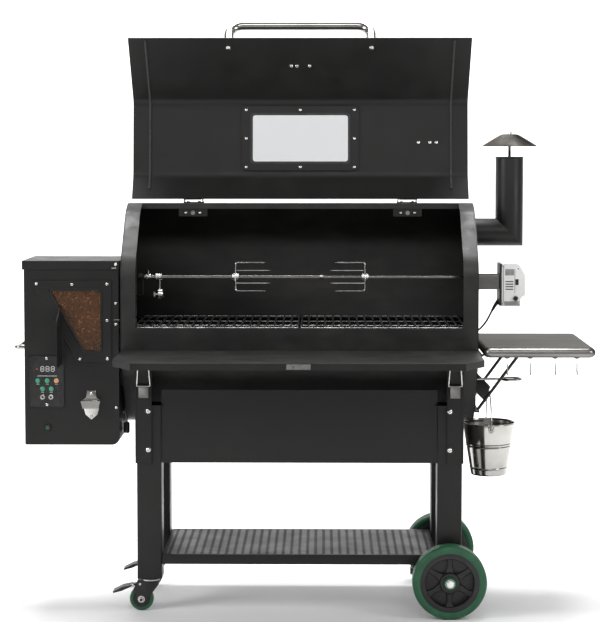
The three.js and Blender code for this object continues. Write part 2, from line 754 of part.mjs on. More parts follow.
function hopperBox() {
  const { left, right, frontY, backY, bottomZ, topZ } = HOPPER;
  const [y0, y1] = [frontY + SHEET, backY - SHEET];
  const outline = rounded([
    [left, bottomZ, 4], [right, bottomZ, 22], [right, topZ, 0], [left, topZ, 0],
  ]);
  const bin = [[left + 3, topZ + 5], [right - 3, topZ + 5], [right - 3, 690], [-700, 690],
    [left + 3, 1000]];
  const works = rounded([[left + 3, bottomZ + 3, 0], [right - 3, bottomZ + 3, 19],
    [right - 3, 686, 0], [-702, 686, 0], [left + 3, 993, 0]]);
  const { y, z, tubeR } = AUGER;
  return cut(
    prism('y', outline, frontY, backY),
    prism('y', bin, y0, y1),
    prism('y', works, y0, y1),
    box(-690, -562, y - 14, y + 14, 680, 700),
    cylinder('x', tubeR + 3, right - 10, right + 10, [0, y, z], 16),
    cylinder('z', 40, bottomZ - 5, bottomZ + 8, [-690, 140, 0], 16),
    prism('y', HOPPER_WINDOW.glass, frontY - 2, y0 + 2),
    cylinder('y', BUTTON.radius + 0.5, frontY - 2, y0 + 2, [BUTTON.x, 0, BUTTON.z], 16),
  );
}

function hopperLid() {
  const { left, right, frontY, topZ, lip } = HOPPER_LID;
  return cut(
    box(left, right, frontY, HOPPER.backY, topZ - lip, topZ),
    box(left + 2.5, right - 2.5, frontY + 2.5, HOPPER.backY + 5, topZ - lip - 5, topZ - 2.5),
  );
}

function hopperWindowFrame() {
  const { outer, inner } = HOPPER_WINDOW;
  const back = HOPPER.frontY - GAP;
  return cut(prism('y', outer, back - 3, back), prism('y', inner, back - 9, back + 9));
}

function hopperWindowGlass() {
  return prism('y', HOPPER_WINDOW.pane, HOPPER.frontY, HOPPER.frontY + 2.6);
}

function bottleOpener() {
  const back = HOPPER.frontY - GAP;
  const x = -637;
  const plate = [[x - 13, 686], [x + 13, 686], [x + 16, 664], [x + 30, 656], [x + 24, 634],
    [x + 18, 612], [x, 597], [x - 18, 612], [x - 24, 634], [x - 30, 656], [x - 16, 664]];
  const hood = prism('y', [[x - 30, 657], [x + 30, 657], [x + 24, 634], [x - 24, 634]], -24, back);
  const mouth = prism('y', [[x - 19, 648], [x + 19, 648], [x + 18, 600], [x - 18, 600]], -19, 1.5);
  return cut(joined(prism('y', plate, back - 3, back), hood), mouth);
}

function hopperHandle() {
  const x = HOPPER.left - GAP;
  const z = 812;
  const path = bent([[x, 65, z], [x - 37, 65, z], [x - 37, 185, z], [x, 185, z]], 12, 3);
  return rod(path, 6, 8);
}

// ---------------------------------------------------------------- chimney

function pipeSolid(radius, overrun) {
  const { x, y, z, topZ } = CHIMNEY;
  const level = cylinder('x', radius, DRUM.halfWidth + GAP - overrun, x + 90, [0, y, z], 20);
  const upright = cylinder('z', radius, z - 90, topZ + overrun, [x, y, 0], 20);
  // Each half of the elbow is kept to its side of the mitre, with a hair of overlap to fuse them.
  const half = (sign) => {
    const block = new THREE.BoxGeometry(900, 900, 900);
    block.translate(sign * 449.95, 0, 0).rotateY(-Math.PI / 4);
    return block.translate(x, y, z);
  };
  return joined(common(level, half(-1)), common(upright, half(1)));
}

function chimneyPipe() {
  const { x, y, radius, topZ } = CHIMNEY;
  const strap = box(x - radius + 1, x + radius - 1, y - 8, y + 8, topZ - 14, topZ - 10);
  const flange = ring('x', radius + 14, radius - 1, 0, 3, [DRUM.halfWidth + GAP, y, CHIMNEY.z], 20);
  const stemHole = cylinder('z', 5, topZ - 20, topZ, [x, y, 0], 12);
  const pipe = cut(pipeSolid(radius, 0), pipeSolid(radius - 2, 5));
  return cut(joined(pipe, strap, flange), stemHole);
}

function chimneyCap() {
  const { x, y, topZ } = CHIMNEY;
  const { rimR, rimZ, topR, height } = CAP;
  const cone = turned('z', [[0, height], [topR, height], [rimR, 0], [rimR - 2, -1],
    [topR - 1, height - 2.5], [0, height - 2.5], [0, height]], [x, y, rimZ], 28);
  const stem = cylinder('z', 4.5, topZ - 40, rimZ + height - 1, [x, y, 0], 10);
  return joined(cone, stem);
}

// ---------------------------------------------------------------- side shelf

function sideShelf() {
  const { left, right, frontY, backY, z, thick } = SIDE_SHELF;
  return cut(
    prism('z', rectangle(left, right, frontY, backY, 12), z - thick, z),
    box(left + 3, right - 3, frontY + 3, backY - 3, z - thick - 1, z - 3),
  );
}

// Two slanted bars carry the shelf: they share a cross bar under it and stand on the lower rail.
function sideShelfStrut() {
  const top = [703, SIDE_SHELF.z - 3 - GAP - 9];
  const foot = [556.5, 609];
  const bars = [140, 405].map((y) => rod([[top[0], y, top[1]], [foot[0], y, foot[1]]], 5, 8));
  return joined(...bars, box(top[0] - 8, top[0] + 8, 60, 430, top[1] - 5, top[1] + 9));
}

function sideShelfBracket() {
  const x = DRUM.halfWidth + GAP;
  return joined(
    box(x, x + 4, 0, 438, 776, 800),
    box(x, x + 3, 126, 146, 606, 790),
    box(x, x + 3, 300, 320, 606, 790),
    box(x, x + 3, 126, 425, 602, 622),
    box(x, x + 16, 126, 425, 602, 605),
  );
}

// ---------------------------------------------------------------- bucket

function bucketShell() {
  const { x, y, rimZ, rimR, bottomR, height } = BUCKET;
  const profile = [[0, -height], [bottomR, -height], [rimR - 6, -22], [rimR - 3, -4], [rimR, -4],
    [rimR, 0], [rimR - 5, 0], [rimR - 8, -22], [bottomR - 2, -height + 3], [0, -height + 3],
    [0, -height]];
  const shell = turned('z', profile, [x, y, rimZ], 28);
  const earAt = (side) => {
    const [near, far] = [side * (rimR - 5), side * (rimR + 2)].sort((a, b) => a - b);
    const ear = box(x - 9, x + 9, y + near, y + far, rimZ - 26, rimZ - 2);
    return cut(ear, cylinder('y', 3.2, near - 5, far + 5, [x, y, rimZ - 13], 8));
  };
  return joined(shell, earAt(-1), earAt(1));
}

function bucketBail() {
  const { x, y, rimZ, rimR, hookZ } = BUCKET;
  const pinZ = rimZ - 13;
  const reach = rimR + 7;
  const lift = hookZ - pinZ - 7;
  const arc = Array.from({ length: 13 }, (_, i) => {
    const angle = (Math.PI * i) / 12;
    return [x, y - reach * Math.cos(angle), pinZ + lift * Math.sin(angle)];
  });
  const wire = rod(arc, 2.2, 6);
  const pins = [-1, 1].map((side) => {
    const [near, far] = [side * (rimR - 2), side * (reach + 1)].sort((a, b) => a - b);
    return cylinder('y', 2.2, near, far, [x, y, pinZ], 8);
  });
  return joined(wire, ...pins);
}

// ---------------------------------------------------------------- rotisserie

function spitFork(x, facing) {
  const { y, z, side } = SPIT;
  const collar = cylinder('x', 13, -12, 12, [x, y, z], 12);
  const prongs = [[0, 45, 96], [42, 17, 111], [0, -45, 96], [-42, -17, 111]];
  const wires = prongs.map(([dy, dz, reach]) => rod(bent([
    [x, y, z], [x, y + dy, z + dz], [x + facing * reach, y + dy, z + dz],
  ], 6, 2), 2.2, 6));
  const bore = box(x - 40, x + 40, y - side / 2 - GAP, y + side / 2 + GAP,
    z - side / 2 - GAP, z + side / 2 + GAP);
  return cut(joined(collar, ...wires), bore);
}

function spitCounterweight() {
  const { y, z, side } = SPIT;
  const bore = box(-520, -400, y - side / 2 - GAP, y + side / 2 + GAP,
    z - side / 2 - GAP, z + side / 2 + GAP);
  return cut(
    joined(
      cylinder('x', 11, -492, -437, [0, y, z], 12),
      cylinder('z', 3.5, z - 62, z - 5, [-446, y, 0], 8),
      cylinder('z', 14, z - 74, z - 36, [-446, y, 0], 12),
    ),
    bore,
  );
}

function motorBracket() {
  const [x0, x1] = [DRUM.halfWidth + GAP, 624.7];
  const { y, z } = SPIT;
  return joined(
    box(x0, x1, y - 35, y + 35, 985, 988),
    box(x0, x1, y - 35, y - 32, 985, z + 8),
    box(x0, x1, y + 32, y + 35, 985, z + 8),
  );
}

function rotisserieMotor() {
  const { y, z } = SPIT;
  const outline = [[625, 932], [692, 932], [694, 962], [706, 968], [706, 1030], [690, 1062],
    [680, 1068], [625, 1068]];
  return cut(
    prism('y', outline, y - 45, y + 45),
    cylinder('x', 8, 620, 645, [0, y, z], 12),
  );
}

// ---------------------------------------------------------------- assembly

place('drum_wrap', drumWrap(), COAT);
place('end_plate_left', leftEndPlate(), COAT);
place('end_plate_right', rightEndPlate(), COAT);
place('grate_left', grate(-1), STEEL);
place('grate_right', grate(1), STEEL);
place('drip_tray', dripTray(), STEEL);
place('heat_shield', heatShield(), STEEL);
place('fire_pot', firePot(), STEEL);
place('auger_screw', augerScrew(), STEEL);
place('auger_motor', box(-780, -704.5, 160, 240, 600, 680), PLASTIC);

placeOnLid('lid_shell', lidShell(), COAT);
placeOnLid('lid_window_frame', windowFrame(), COAT);
const paneBack = -LID.sheet - GAP - 4.3;
const { glassWidth, glassHeight } = WINDOW;
placeOnLid('lid_window_glass', windowPanel(glassWidth, glassHeight, 0, paneBack, paneBack + 4), GLASS);
placeOnLid('lid_handle', lidHandle(), STEEL);
place('hinge_bracket_left', hingeBracket(-1), COAT);
place('hinge_bracket_right', hingeBracket(1), COAT);

const { frontTopZ, backTopZ, bottomZ } = LEG;
place('leg_front_left', leg(-1, LEG.frontY, bottomZ, frontTopZ), COAT);
place('leg_rear_left', leg(-1, LEG.backY, bottomZ, backTopZ), COAT);
place('leg_front_right', leg(1, LEG.frontY, 70, frontTopZ), COAT);
place('leg_rear_right', leg(1, LEG.backY, 70, backTopZ), COAT);
place('drum_cradle', drumCradle(), COAT);
place('bottom_shelf', bottomShelf(), COAT);
[['front', LEG.frontY], ['rear', LEG.backY]].forEach(([where, legY]) => {
  const y = legY + LEG.side / 2;
  place(`caster_fork_${where}`, casterFork(y), PLASTIC);
  place(`caster_wheel_${where}`, casterWheel(y), GREEN);
  place(`brake_pedal_${where}`, brakePedal(y), PLASTIC);
});
place('wheel_front', bigWheel(BIG_WHEEL.frontY), GREEN);
place('wheel_rear', bigWheel(BIG_WHEEL.backY), GREEN);
place('wheel_axle', wheelAxle(), STEEL);

place('front_shelf', frontShelf(), COAT);
[['left', -1], ['right', 1]].forEach(([where, side]) => {
  place(`latch_lever_${where}`, latchLever(side), STEEL);
  place(`latch_bail_${where}`, latchBail(side), STEEL);
});

place('hopper_box', hopperBox(), COAT);
place('hopper_lid', hopperLid(), COAT);
place('hopper_window_frame', hopperWindowFrame(), COAT);
place('hopper_window_glass', hopperWindowGlass(), GLASS);
place('control_panel', box(-825.7, -721.6, 1.7, 4.7, 635, 792), PLASTIC);
place('power_button', cylinder('y', BUTTON.radius, 0, 14, [BUTTON.x, 0, BUTTON.z], 16), PLASTIC);
place('bottle_opener', bottleOpener(), STEEL);
place('hopper_handle', hopperHandle(), STEEL);

place('chimney_pipe', chimneyPipe(), COAT);
place('chimney_cap', chimneyCap(), STEEL);
place('side_shelf', sideShelf(), STEEL);
place('side_shelf_strut', sideShelfStrut(), COAT);
place('side_shelf_bracket', sideShelfBracket(), COAT);
place('bucket', bucketShell(), STEEL);
place('bucket_bail', bucketBail(), STEEL);

const spitEnds = [SPIT.from, SPIT.to, SPIT.y - SPIT.side / 2, SPIT.y + SPIT.side / 2];
place('spit_rod', box(...spitEnds, SPIT.z - SPIT.side / 2, SPIT.z + SPIT.side / 2), STEEL);
place('spit_fork_left', spitFork(-204, 1), STEEL);
place('spit_fork_right', spitFork(205, -1), STEEL);
place('spit_counterweight', spitCounterweight(), STEEL);
place('rotisserie_motor', rotisserieMotor(), STEEL);
place('motor_bracket', motorBracket(), STEEL);

grill.updateMatrixWorld(true);
const bounds = new THREE.Box3().setFromObject(grill, true);
const middle = bounds.getCenter(new THREE.Vector3());

// The lead lies outside the box that the origin is worked out from.
place('motor_cord', rod(CORD.points, CORD.radius, 8), PLASTIC);
const coilAt = [COIL.x, COIL.y, 0];
place('cord_coil', ring('z', COIL.outerR, COIL.innerR, 0.5, COIL.height, coilAt, 24), PLASTIC);
const plugX = COIL.x - COIL.outerR - GAP;
const plugY = COIL.y - (COIL.outerR + COIL.innerR) / 2;
place('cord_plug', box(plugX - 44, plugX, plugY - 15, plugY + 15, 0.5, 24), PLASTIC);

grill.position.set(-middle.x, -middle.y, -bounds.min.z);

export default grill;
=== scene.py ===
"""Finishes a packed pellet smoker grill: smooth surfaces, fasteners, coatings, stage and camera.

Sizes are in millimetres of the grill's own layout: x from the middle of the drum, y from the drum's
front face towards the back, and z from the floor. metres() turns them into the frame's metres.
"""

import json
import math

import bmesh
import bpy
import numpy as np
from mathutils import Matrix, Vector


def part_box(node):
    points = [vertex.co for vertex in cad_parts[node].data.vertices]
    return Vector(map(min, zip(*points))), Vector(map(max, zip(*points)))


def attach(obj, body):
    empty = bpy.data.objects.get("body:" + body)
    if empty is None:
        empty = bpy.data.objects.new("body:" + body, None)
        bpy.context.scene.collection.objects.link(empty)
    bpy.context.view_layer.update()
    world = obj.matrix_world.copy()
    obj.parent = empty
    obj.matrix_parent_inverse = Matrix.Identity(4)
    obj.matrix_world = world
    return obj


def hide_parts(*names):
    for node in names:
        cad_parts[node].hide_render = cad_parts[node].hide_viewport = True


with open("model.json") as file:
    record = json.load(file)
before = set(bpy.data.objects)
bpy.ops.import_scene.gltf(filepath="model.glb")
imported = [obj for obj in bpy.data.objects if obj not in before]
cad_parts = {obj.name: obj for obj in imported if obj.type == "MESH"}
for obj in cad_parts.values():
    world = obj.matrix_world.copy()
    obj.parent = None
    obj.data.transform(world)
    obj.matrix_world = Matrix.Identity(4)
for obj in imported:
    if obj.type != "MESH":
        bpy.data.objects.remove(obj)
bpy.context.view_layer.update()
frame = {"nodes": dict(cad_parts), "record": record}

bl_info = {
    "name": "Pellet Grill Finisher",
    "version": (1, 0, 0),
    "blender": (4, 5, 0),
    "location": "View3D > Sidebar > Grill",
    "description": "Builds the finished surfaces of a pellet smoker grill round its packed frame",
    "category": "Object",
}

DRUM_LOW, DRUM_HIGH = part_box("drum_wrap")
ORIGIN = np.array([(DRUM_LOW[0] + DRUM_HIGH[0]) / 2, DRUM_LOW[1], 0.0])
MM = 0.001
BODY_OF = {
    node: body for body, nodes in frame["record"]["behaviour"]["bodies"].items() for node in nodes
}
X, Y, Z = np.eye(3)

# ------------------------------------------------------------------ settings


class GrillSizes(bpy.types.PropertyGroup):
    """Sizes of the pieces that a user would change."""

    grate_rod: bpy.props.FloatProperty(
        name="Grate rod", description="Radius of a cooking grate's rods", unit="LENGTH",
        default=0.0031, min=0.001
    )
    handle_radius: bpy.props.FloatProperty(
        name="Lid handle", description="Radius of the lid handle's tube", unit="LENGTH",
        default=0.016, min=0.004
    )
    pellet_radius: bpy.props.FloatProperty(
        name="Pellet", description="Radius of a wood pellet", unit="LENGTH",
        default=0.0032, min=0.001
    )
    tine_radius: bpy.props.FloatProperty(
        name="Fork tine", description="Radius of a spit fork's wire", unit="LENGTH",
        default=0.0022, min=0.001
    )


class GrillColours(bpy.types.PropertyGroup):
    """Colours of the grill's finishes."""

    coat: bpy.props.FloatVectorProperty(
        name="Coat", description="Powder coat", subtype="COLOR", default=(0.006, 0.006, 0.0055)
    )
    tread: bpy.props.FloatVectorProperty(
        name="Tread", description="Rubber tread", subtype="COLOR", default=(0.008, 0.085, 0.034)
    )
    pellet: bpy.props.FloatVectorProperty(
        name="Pellets", description="Pressed wood", subtype="COLOR", default=(0.76, 0.33, 0.13)
    )
    steel: bpy.props.FloatVectorProperty(
        name="Steel", description="Stainless steel", subtype="COLOR", default=(0.50, 0.49, 0.465)
    )


def millimetres(key):
    """One of the grill's sizes, turned from the scene's metres into millimetres."""
    return getattr(bpy.context.scene.grill_sizes, key) / MM


def colours():
    return bpy.context.scene.grill_colours


# ------------------------------------------------------------------ surfaces


def metres(points):
    """Row metres are layout millimetres divided by 1000, plus the layout's origin."""
    return np.asarray(points, float) * MM + ORIGIN


def unit(vector):
    """A vector divided by its own length."""
    vector = np.asarray(vector, float)
    return vector / np.linalg.norm(vector, axis=-1, keepdims=True)


def merged(*solids):
    """Several (vertices, faces) solids as one: face numbers go up by the vertices before them."""
    vertices, faces, count = [], [], 0
    for points, polygons in solids:
        vertices.append(points)
        faces += [tuple(int(i) + count for i in face) for face in polygons]
        count += len(points)
    return np.vstack(vertices), faces


def grid(points, around=True, along=False, capped=True):
    """Surface through points [i, j]: a quad joins (i, j), (i, j+1), (i+1, j+1) and (i+1, j).

    around closes j on itself, along closes i on itself, and capped shuts the first and last rows.
    """
    rows, columns = points.shape[:2]
    i = np.arange(rows if along else rows - 1)[:, None]
    j = np.arange(columns if around else columns - 1)[None, :]
    a = i * columns + j
    b = i * columns + (j + 1) % columns
    c = ((i + 1) % rows) * columns + (j + 1) % columns
    d = ((i + 1) % rows) * columns + j
    faces = [tuple(f) for f in np.stack([a, b, c, d], -1).reshape(-1, 4).tolist()]
    if capped and around and not along:
        faces.append(tuple(range(columns))[::-1])
        faces.append(tuple((rows - 1) * columns + k for k in range(columns)))
    return points.reshape(-1, 3), faces


def tube(path, radius, sides=14, closed=False):
    """Round tube: p(i, t) = path[i] + r[i] (cos t * side[i] + sin t * rise[i]).

    side and rise are square to the path, and come from the plane that the path lies in.
    """
    path = np.asarray(path, float)
    centred = path - path.mean(0)
    flat = np.linalg.svd(centred, full_matrices=True)[2][2]
    if closed:
        along = np.roll(path, -1, 0) - np.roll(path, 1, 0)
    else:
        along = np.gradient(path, axis=0)
    along = unit(along)
    side = unit(np.cross(along, flat))
    rise = np.cross(side, along)
    turn = np.linspace(0, 2 * math.pi, sides, endpoint=False)
    reach = np.broadcast_to(np.asarray(radius, float), (len(path),))[:, None, None]
    ring = np.cos(turn)[None, :, None] * side[:, None] + np.sin(turn)[None, :, None] * rise[:, None]
    return grid(path[:, None] + reach * ring, along=closed)


def bent(points, radius, steps=6):
    """A path through corners, where each corner is an arc of that radius between tangent points."""
    points = [np.asarray(p, float) for p in points]
    path = [points[0]]
    for last, here, ahead in zip(points, points[1:], points[2:]):
        back, on = unit(last - here), unit(ahead - here)
        half = math.acos(np.clip(back @ on, -1, 1)) / 2
        if math.pi / 2 - half < 0.01:
            path.append(here)
            continue
        reach = min(radius / math.tan(half), 0.49 * min(
            np.linalg.norm(last - here), np.linalg.norm(ahead - here)))
        size = reach * math.tan(half)
        centre = here + unit(back + on) * size / math.sin(half)
        first, final = here + back * reach - centre, here + on * reach - centre
        whole = math.pi - 2 * half
        k = np.linspace(0, 1, steps + 1)[:, None]
        arc = (np.sin((1 - k) * whole) * first + np.sin(k * whole) * final) / math.sin(whole)
        path.extend(centre + arc)
    path.append(points[-1])
    return np.array(path)


def turned(profile, centre, axis="z", steps=40):
    """Lathe shape: a profile point (r, h) goes round, p = centre + r (cos t, sin t) + h axis.

    A profile that ends where it began is a ring; any other starts and ends on the axis.
    """
    profile = np.asarray(profile, float)
    ring = np.allclose(profile[0], profile[-1])
    if ring:
        profile = profile[:-1]
    turn = np.linspace(0, 2 * math.pi, steps, endpoint=False)[:, None]
    r, h = profile[None, :, 0], profile[None, :, 1]
    u, v, w = {"x": (Y, Z, X), "y": (Z, X, Y), "z": (X, Y, Z)}[axis]
    points = (
        (r * np.cos(turn))[..., None] * u + (r * np.sin(turn))[..., None] * v
        + (h + 0 * turn)[..., None] * w + np.asarray(centre, float)
    )
    return grid(points, around=ring, along=True)


def slab(x0, x1, y0, y1, z0, z1):
    """Box between two corners."""
    corners = np.array([[x, y, z] for x in (x0, x1) for y in (y0, y1) for z in (z0, z1)], float)
    faces = [(0, 1, 3, 2), (4, 6, 7, 5), (0, 4, 5, 1), (2, 3, 7, 6), (0, 2, 6, 4), (1, 5, 7, 3)]
    return corners, faces


def prism(outline, axis, start, end):
    """A flat outline carried straight along an axis, with its own two ends as caps."""
    outline = np.asarray(outline, float)
    order = {"x": (2, 0, 1), "y": (0, 2, 1), "z": (0, 1, 2)}[axis]
    rows = []
    for level in (start, end):
        flat = np.column_stack([outline, np.full(len(outline), level)])
        rows.append(flat[:, order])
    return grid(np.array(rows))


def rounded_rectangle(half_x, half_y, radius, steps=6):
    """Corner arcs of a rectangle: four quarter turns about centres one radius in from its sides."""
    quarter = np.linspace(0, math.pi / 2, steps + 1)
    arcs = []
    for k, (sx, sy) in enumerate([(1, 1), (-1, 1), (-1, -1), (1, -1)]):
        turn = quarter + k * math.pi / 2
        arcs.append(np.column_stack([
            sx * (half_x - radius) + radius * np.cos(turn),
            sy * (half_y - radius) + radius * np.sin(turn)
        ]))
    return np.vstack(arcs)


def rimmed(centre, half_x, half_y, radius, profile, closed=False):
    """A rounded rectangle stacked up: level (inset, h) is its outline drawn in by inset, at h."""
    rows = []
    for inset, height in profile:
        flat = rounded_rectangle(half_x - inset, half_y - inset, max(radius - inset, 0.6))
        rows.append(np.column_stack([flat, np.full(len(flat), height)]) + np.asarray(centre, float))
    return grid(np.array(rows), along=closed)


def copies(solid, spots, direction=Z):
    """Copies of a solid drawn upwards from the origin, turned to the direction, at each spot."""
    up = unit(direction)
    helper = X if abs(up[0]) < 0.9 else Y
    side = unit(np.cross(helper, up))
    turn = np.column_stack([side, np.cross(up, side), up])
    points, faces = solid
    stood = points @ turn.T
    return merged(*[(stood + np.asarray(spot, float), faces) for spot in spots])


def button_head(radius, height, recess=0.45):
    """Domed screw head: h = height sqrt(1 - (r / radius)^2), with a round driver recess in its top."""
    inner = radius * recess
    dome = [(radius, 0), (radius, height * 0.25)]
    dome += [(radius * c, height * (0.25 + 0.75 * s)) for c, s in
             [(math.cos(a), math.sin(a)) for a in np.linspace(0.25, 1.25, 4)]]
    return turned([(0, 0), *dome, (inner, height), (inner * 0.9, height * 0.45), (0, height * 0.4)],
                  (0, 0, 0), steps=16)


def hex_head(radius, height):
    """Six-sided head with a chamfered top on a thin round washer."""
    turn = np.linspace(0, 2 * math.pi, 6, endpoint=False)
    rows = []
    for r, h in [(radius, 0.8), (radius, height * 0.8), (radius * 0.86, height)]:
        rows.append(np.column_stack([r * np.cos(turn), r * np.sin(turn), np.full(6, h)]))
    washer = turned([(0, 0), (radius * 1.35, 0), (radius * 1.35, 1.1), (0, 1.1)], (0, 0, 0), steps=16)
    return merged(grid(np.array(rows)), washer)


def acorn_nut(radius, height):
    """Six-sided nut under a dome that is half a ball."""
    turn = np.linspace(0, 2 * math.pi, 6, endpoint=False)
    rows = np.array([np.column_stack([radius * np.cos(turn), radius * np.sin(turn), np.full(6, h)])
                     for h in (0.0, height * 0.5)])
    ball = [(radius * 0.82 * math.cos(a), height * 0.45 + height * 0.55 * math.sin(a))
            for a in np.linspace(0, math.pi / 2, 6)]
    cap = turned([(0, height * 0.4), (radius * 0.82, height * 0.4), *ball[:-1], (0, height)],
                 (0, 0, 0), steps=18)
    return merged(grid(rows), cap)


def wing_screw(radius, length, span):
    """Threaded shank with two flat wings that stand out on either side."""
    shank = turned([(0, 0), (radius, 0), (radius, length * 0.6), (0, length * 0.6)], (0, 0, 0),
                   steps=12)
    turn = np.linspace(0, 2 * math.pi, 16, endpoint=False)
    wing = np.column_stack([
        span * np.cos(turn) * (0.55 + 0.45 * np.abs(np.cos(turn))),
        length * 0.72 + length * 0.28 * np.sin(turn) * (0.6 + 0.4 * np.abs(np.cos(turn))),
    ])
    return merged(shank, prism(wing, "y", -1.1, 1.1))


# ------------------------------------------------------------------ finishes

FINISHES = {}


class Shader:
    """A material's node tree, with short ways to add the nodes that the finishes share."""

    def __init__(self, name):
        self.material = bpy.data.materials.new(name)
        self.material.use_nodes = True
        self.tree = self.material.node_tree
        self.surface = self.tree.nodes["Principled BSDF"]
        self.place = self.add("ShaderNodeTexCoord").outputs["Object"]

    def add(self, kind, **settings):
        node = self.tree.nodes.new(kind)
        for key, value in settings.items():
            setattr(node, key, value)
        return node

    def link(self, source, target):
        self.tree.links.new(source, target)

    def set(self, **values):
        for key, value in values.items():
            self.surface.inputs[key.replace("_", " ")].default_value = value

    def noise(self, scale, detail=3, stretch=(1, 1, 1), roughness=0.5):
        """Noise of the piece's own metres, squeezed by stretch along each axis."""
        mapping = self.add("ShaderNodeMapping")
        mapping.inputs["Scale"].default_value = stretch
        self.link(self.place, mapping.inputs["Vector"])
        node = self.add("ShaderNodeTexNoise")
        self.link(mapping.outputs["Vector"], node.inputs["Vector"])
        node.inputs["Scale"].default_value = scale
        node.inputs["Detail"].default_value = detail
        node.inputs["Roughness"].default_value = roughness
        return node.outputs["Fac"]

    def cells(self, scale):
        node = self.add("ShaderNodeTexVoronoi")
        node.inputs["Scale"].default_value = scale
        self.link(self.place, node.inputs["Vector"])
        return node.outputs["Distance"]

    def ramp(self, value, *stops):
        """Value through a colour ramp whose stops are (position, number or colour)."""
        node = self.add("ShaderNodeValToRGB")
        while len(node.color_ramp.elements) < len(stops):
            node.color_ramp.elements.new(0.5)
        for element, (position, level) in zip(node.color_ramp.elements, stops):
            element.position = position
            shade = (level,) * 3 if isinstance(level, (int, float)) else tuple(level)
            element.color = (*shade, 1)
        self.link(value, node.inputs["Fac"])
        return node.outputs["Color"]

    def colour(self, value):
        self.link(value, self.surface.inputs["Base Color"])

    def rough(self, value):
        self.link(value, self.surface.inputs["Roughness"])

    def bumps(self, *layers):
        """Stacks bumps, each (height, strength, distance in metres), one on the other."""
        below = None
        for height, strength, distance in layers:
            node = self.add("ShaderNodeBump")
            node.inputs["Strength"].default_value = strength
            node.inputs["Distance"].default_value = distance
            self.link(height, node.inputs["Height"])
            if below:
                self.link(below, node.inputs["Normal"])
            below = node.outputs["Normal"]
        self.link(below, self.surface.inputs["Normal"])


def shade(colour, factor):
    return tuple(min(1.0, c * factor) for c in colour)


def powder_coat(s):
    base = colours().coat
    s.colour(s.ramp(s.noise(7, 5), (0.35, shade(base, 0.8)), (0.6, base), (0.8, shade(base, 1.5))))
    s.rough(s.ramp(s.noise(14, 4), (0.3, 0.40), (0.75, 0.54)))
    s.bumps((s.noise(1500, 2), 0.28, 0.00022), (s.noise(240, 2), 0.12, 0.0003), (s.noise(9, 2), 0.05,
                                                                                 0.004))
    s.set(Specular_IOR_Level=0.36)


# Painted light: a lighter copy of the powder coat, mottled with tones up to 1.6 times the coat and
# warmer, for the drum's inner sheet, which faces up and inwards into the light.
def painted_light_coat(s):
    base = colours().coat
    s.colour(s.ramp(s.noise(9, 6, (1, 1, 2.2)), (0.3, shade(base, 0.8)), (0.55, shade(base, 1.6)),
                    (0.72, (0.018, 0.016, 0.013)), (0.9, (0.027, 0.025, 0.022))))
    s.rough(s.ramp(s.noise(25, 5), (0.25, 0.36), (0.75, 0.60)))
    s.bumps((s.noise(1200, 2), 0.25, 0.00022), (s.noise(6, 3), 0.12, 0.006))


def enamel(s):
    s.set(Metallic=0.85)
    s.colour(s.ramp(s.noise(45, 5), (0.35, 0.10), (0.55, 0.24), (0.75, (0.42, 0.41, 0.39))))
    s.rough(s.ramp(s.noise(60, 4), (0.3, 0.16), (0.75, 0.36)))
    s.bumps((s.noise(380, 3), 0.2, 0.0004),)
    s.set(Coat_Weight=0.4, Coat_Roughness=0.12)


def brushed(s):
    base = colours().steel
    s.set(Metallic=1.0)
    grain = s.noise(90, 4, (0.35, 28, 28))
    s.set(Specular_Tint=(0.22, 0.22, 0.21, 1))
    s.colour(s.ramp(s.noise(6, 4, (1, 3, 3)), (0.3, shade(base, 0.34)), (0.7, shade(base, 0.5))))
    s.rough(s.ramp(grain, (0.25, 0.24), (0.8, 0.42)))
    s.bumps((grain, 0.12, 0.0002), (s.noise(5, 2), 0.06, 0.004))


def polished(s):
    base = colours().steel
    s.set(Metallic=1.0)
    s.colour(s.ramp(s.noise(9, 5), (0.3, shade(base, 0.72)), (0.7, shade(base, 1.1))))
    s.rough(s.ramp(s.noise(60, 6, (1, 1, 6)), (0.3, 0.08), (0.8, 0.24)))
    s.bumps((s.noise(14, 2), 0.05, 0.002), (s.noise(700, 2, (1, 1, 12)), 0.05, 0.0001))


def plated(s):
    s.set(Metallic=1.0)
    s.colour(s.ramp(s.noise(60, 4), (0.3, (0.52, 0.52, 0.50)), (0.7, (0.82, 0.82, 0.80))))
    s.rough(s.ramp(s.noise(90, 3), (0.3, 0.14), (0.75, 0.30)))
    s.bumps((s.noise(500, 2), 0.10, 0.0002),)


def galvanised(s):
    s.set(Metallic=0.9, Specular_Tint=(0.3, 0.3, 0.29, 1))
    s.colour(s.ramp(s.noise(16, 6), (0.3, (0.02, 0.019, 0.018)), (0.5, (0.042, 0.04, 0.037)),
                    (0.68, (0.07, 0.063, 0.054)), (0.85, (0.12, 0.12, 0.12))))
    s.rough(s.ramp(s.cells(160), (0.0, 0.30), (0.9, 0.55)))
    s.bumps((s.noise(300, 3), 0.15, 0.0004), (s.noise(12, 2), 0.1, 0.004))


def moulded(s):
    s.colour(s.ramp(s.noise(40, 4), (0.3, 0.005), (0.75, 0.011)))
    s.rough(s.ramp(s.noise(120, 3), (0.3, 0.38), (0.75, 0.58)))
    s.bumps((s.cells(1400), 0.25, 0.0003), (s.noise(60, 2), 0.05, 0.001))


def tread(s):
    base = colours().tread
    s.colour(s.ramp(s.noise(30, 5), (0.3, shade(base, 0.72)), (0.6, base), (0.85, shade(base, 1.7))))
    s.rough(s.ramp(s.noise(80, 3), (0.3, 0.40), (0.75, 0.62)))
    s.bumps((s.noise(900, 3), 0.25, 0.0004), (s.noise(45, 2), 0.08, 0.001))


def clear_glass(s):
    s.set(Transmission_Weight=1.0, IOR=1.46, Base_Color=(0.455, 0.46, 0.465, 1))
    s.rough(s.ramp(s.noise(12, 6), (0.45, 0.0), (0.9, 0.10)))
    s.bumps((s.noise(4, 2), 0.02, 0.004),)


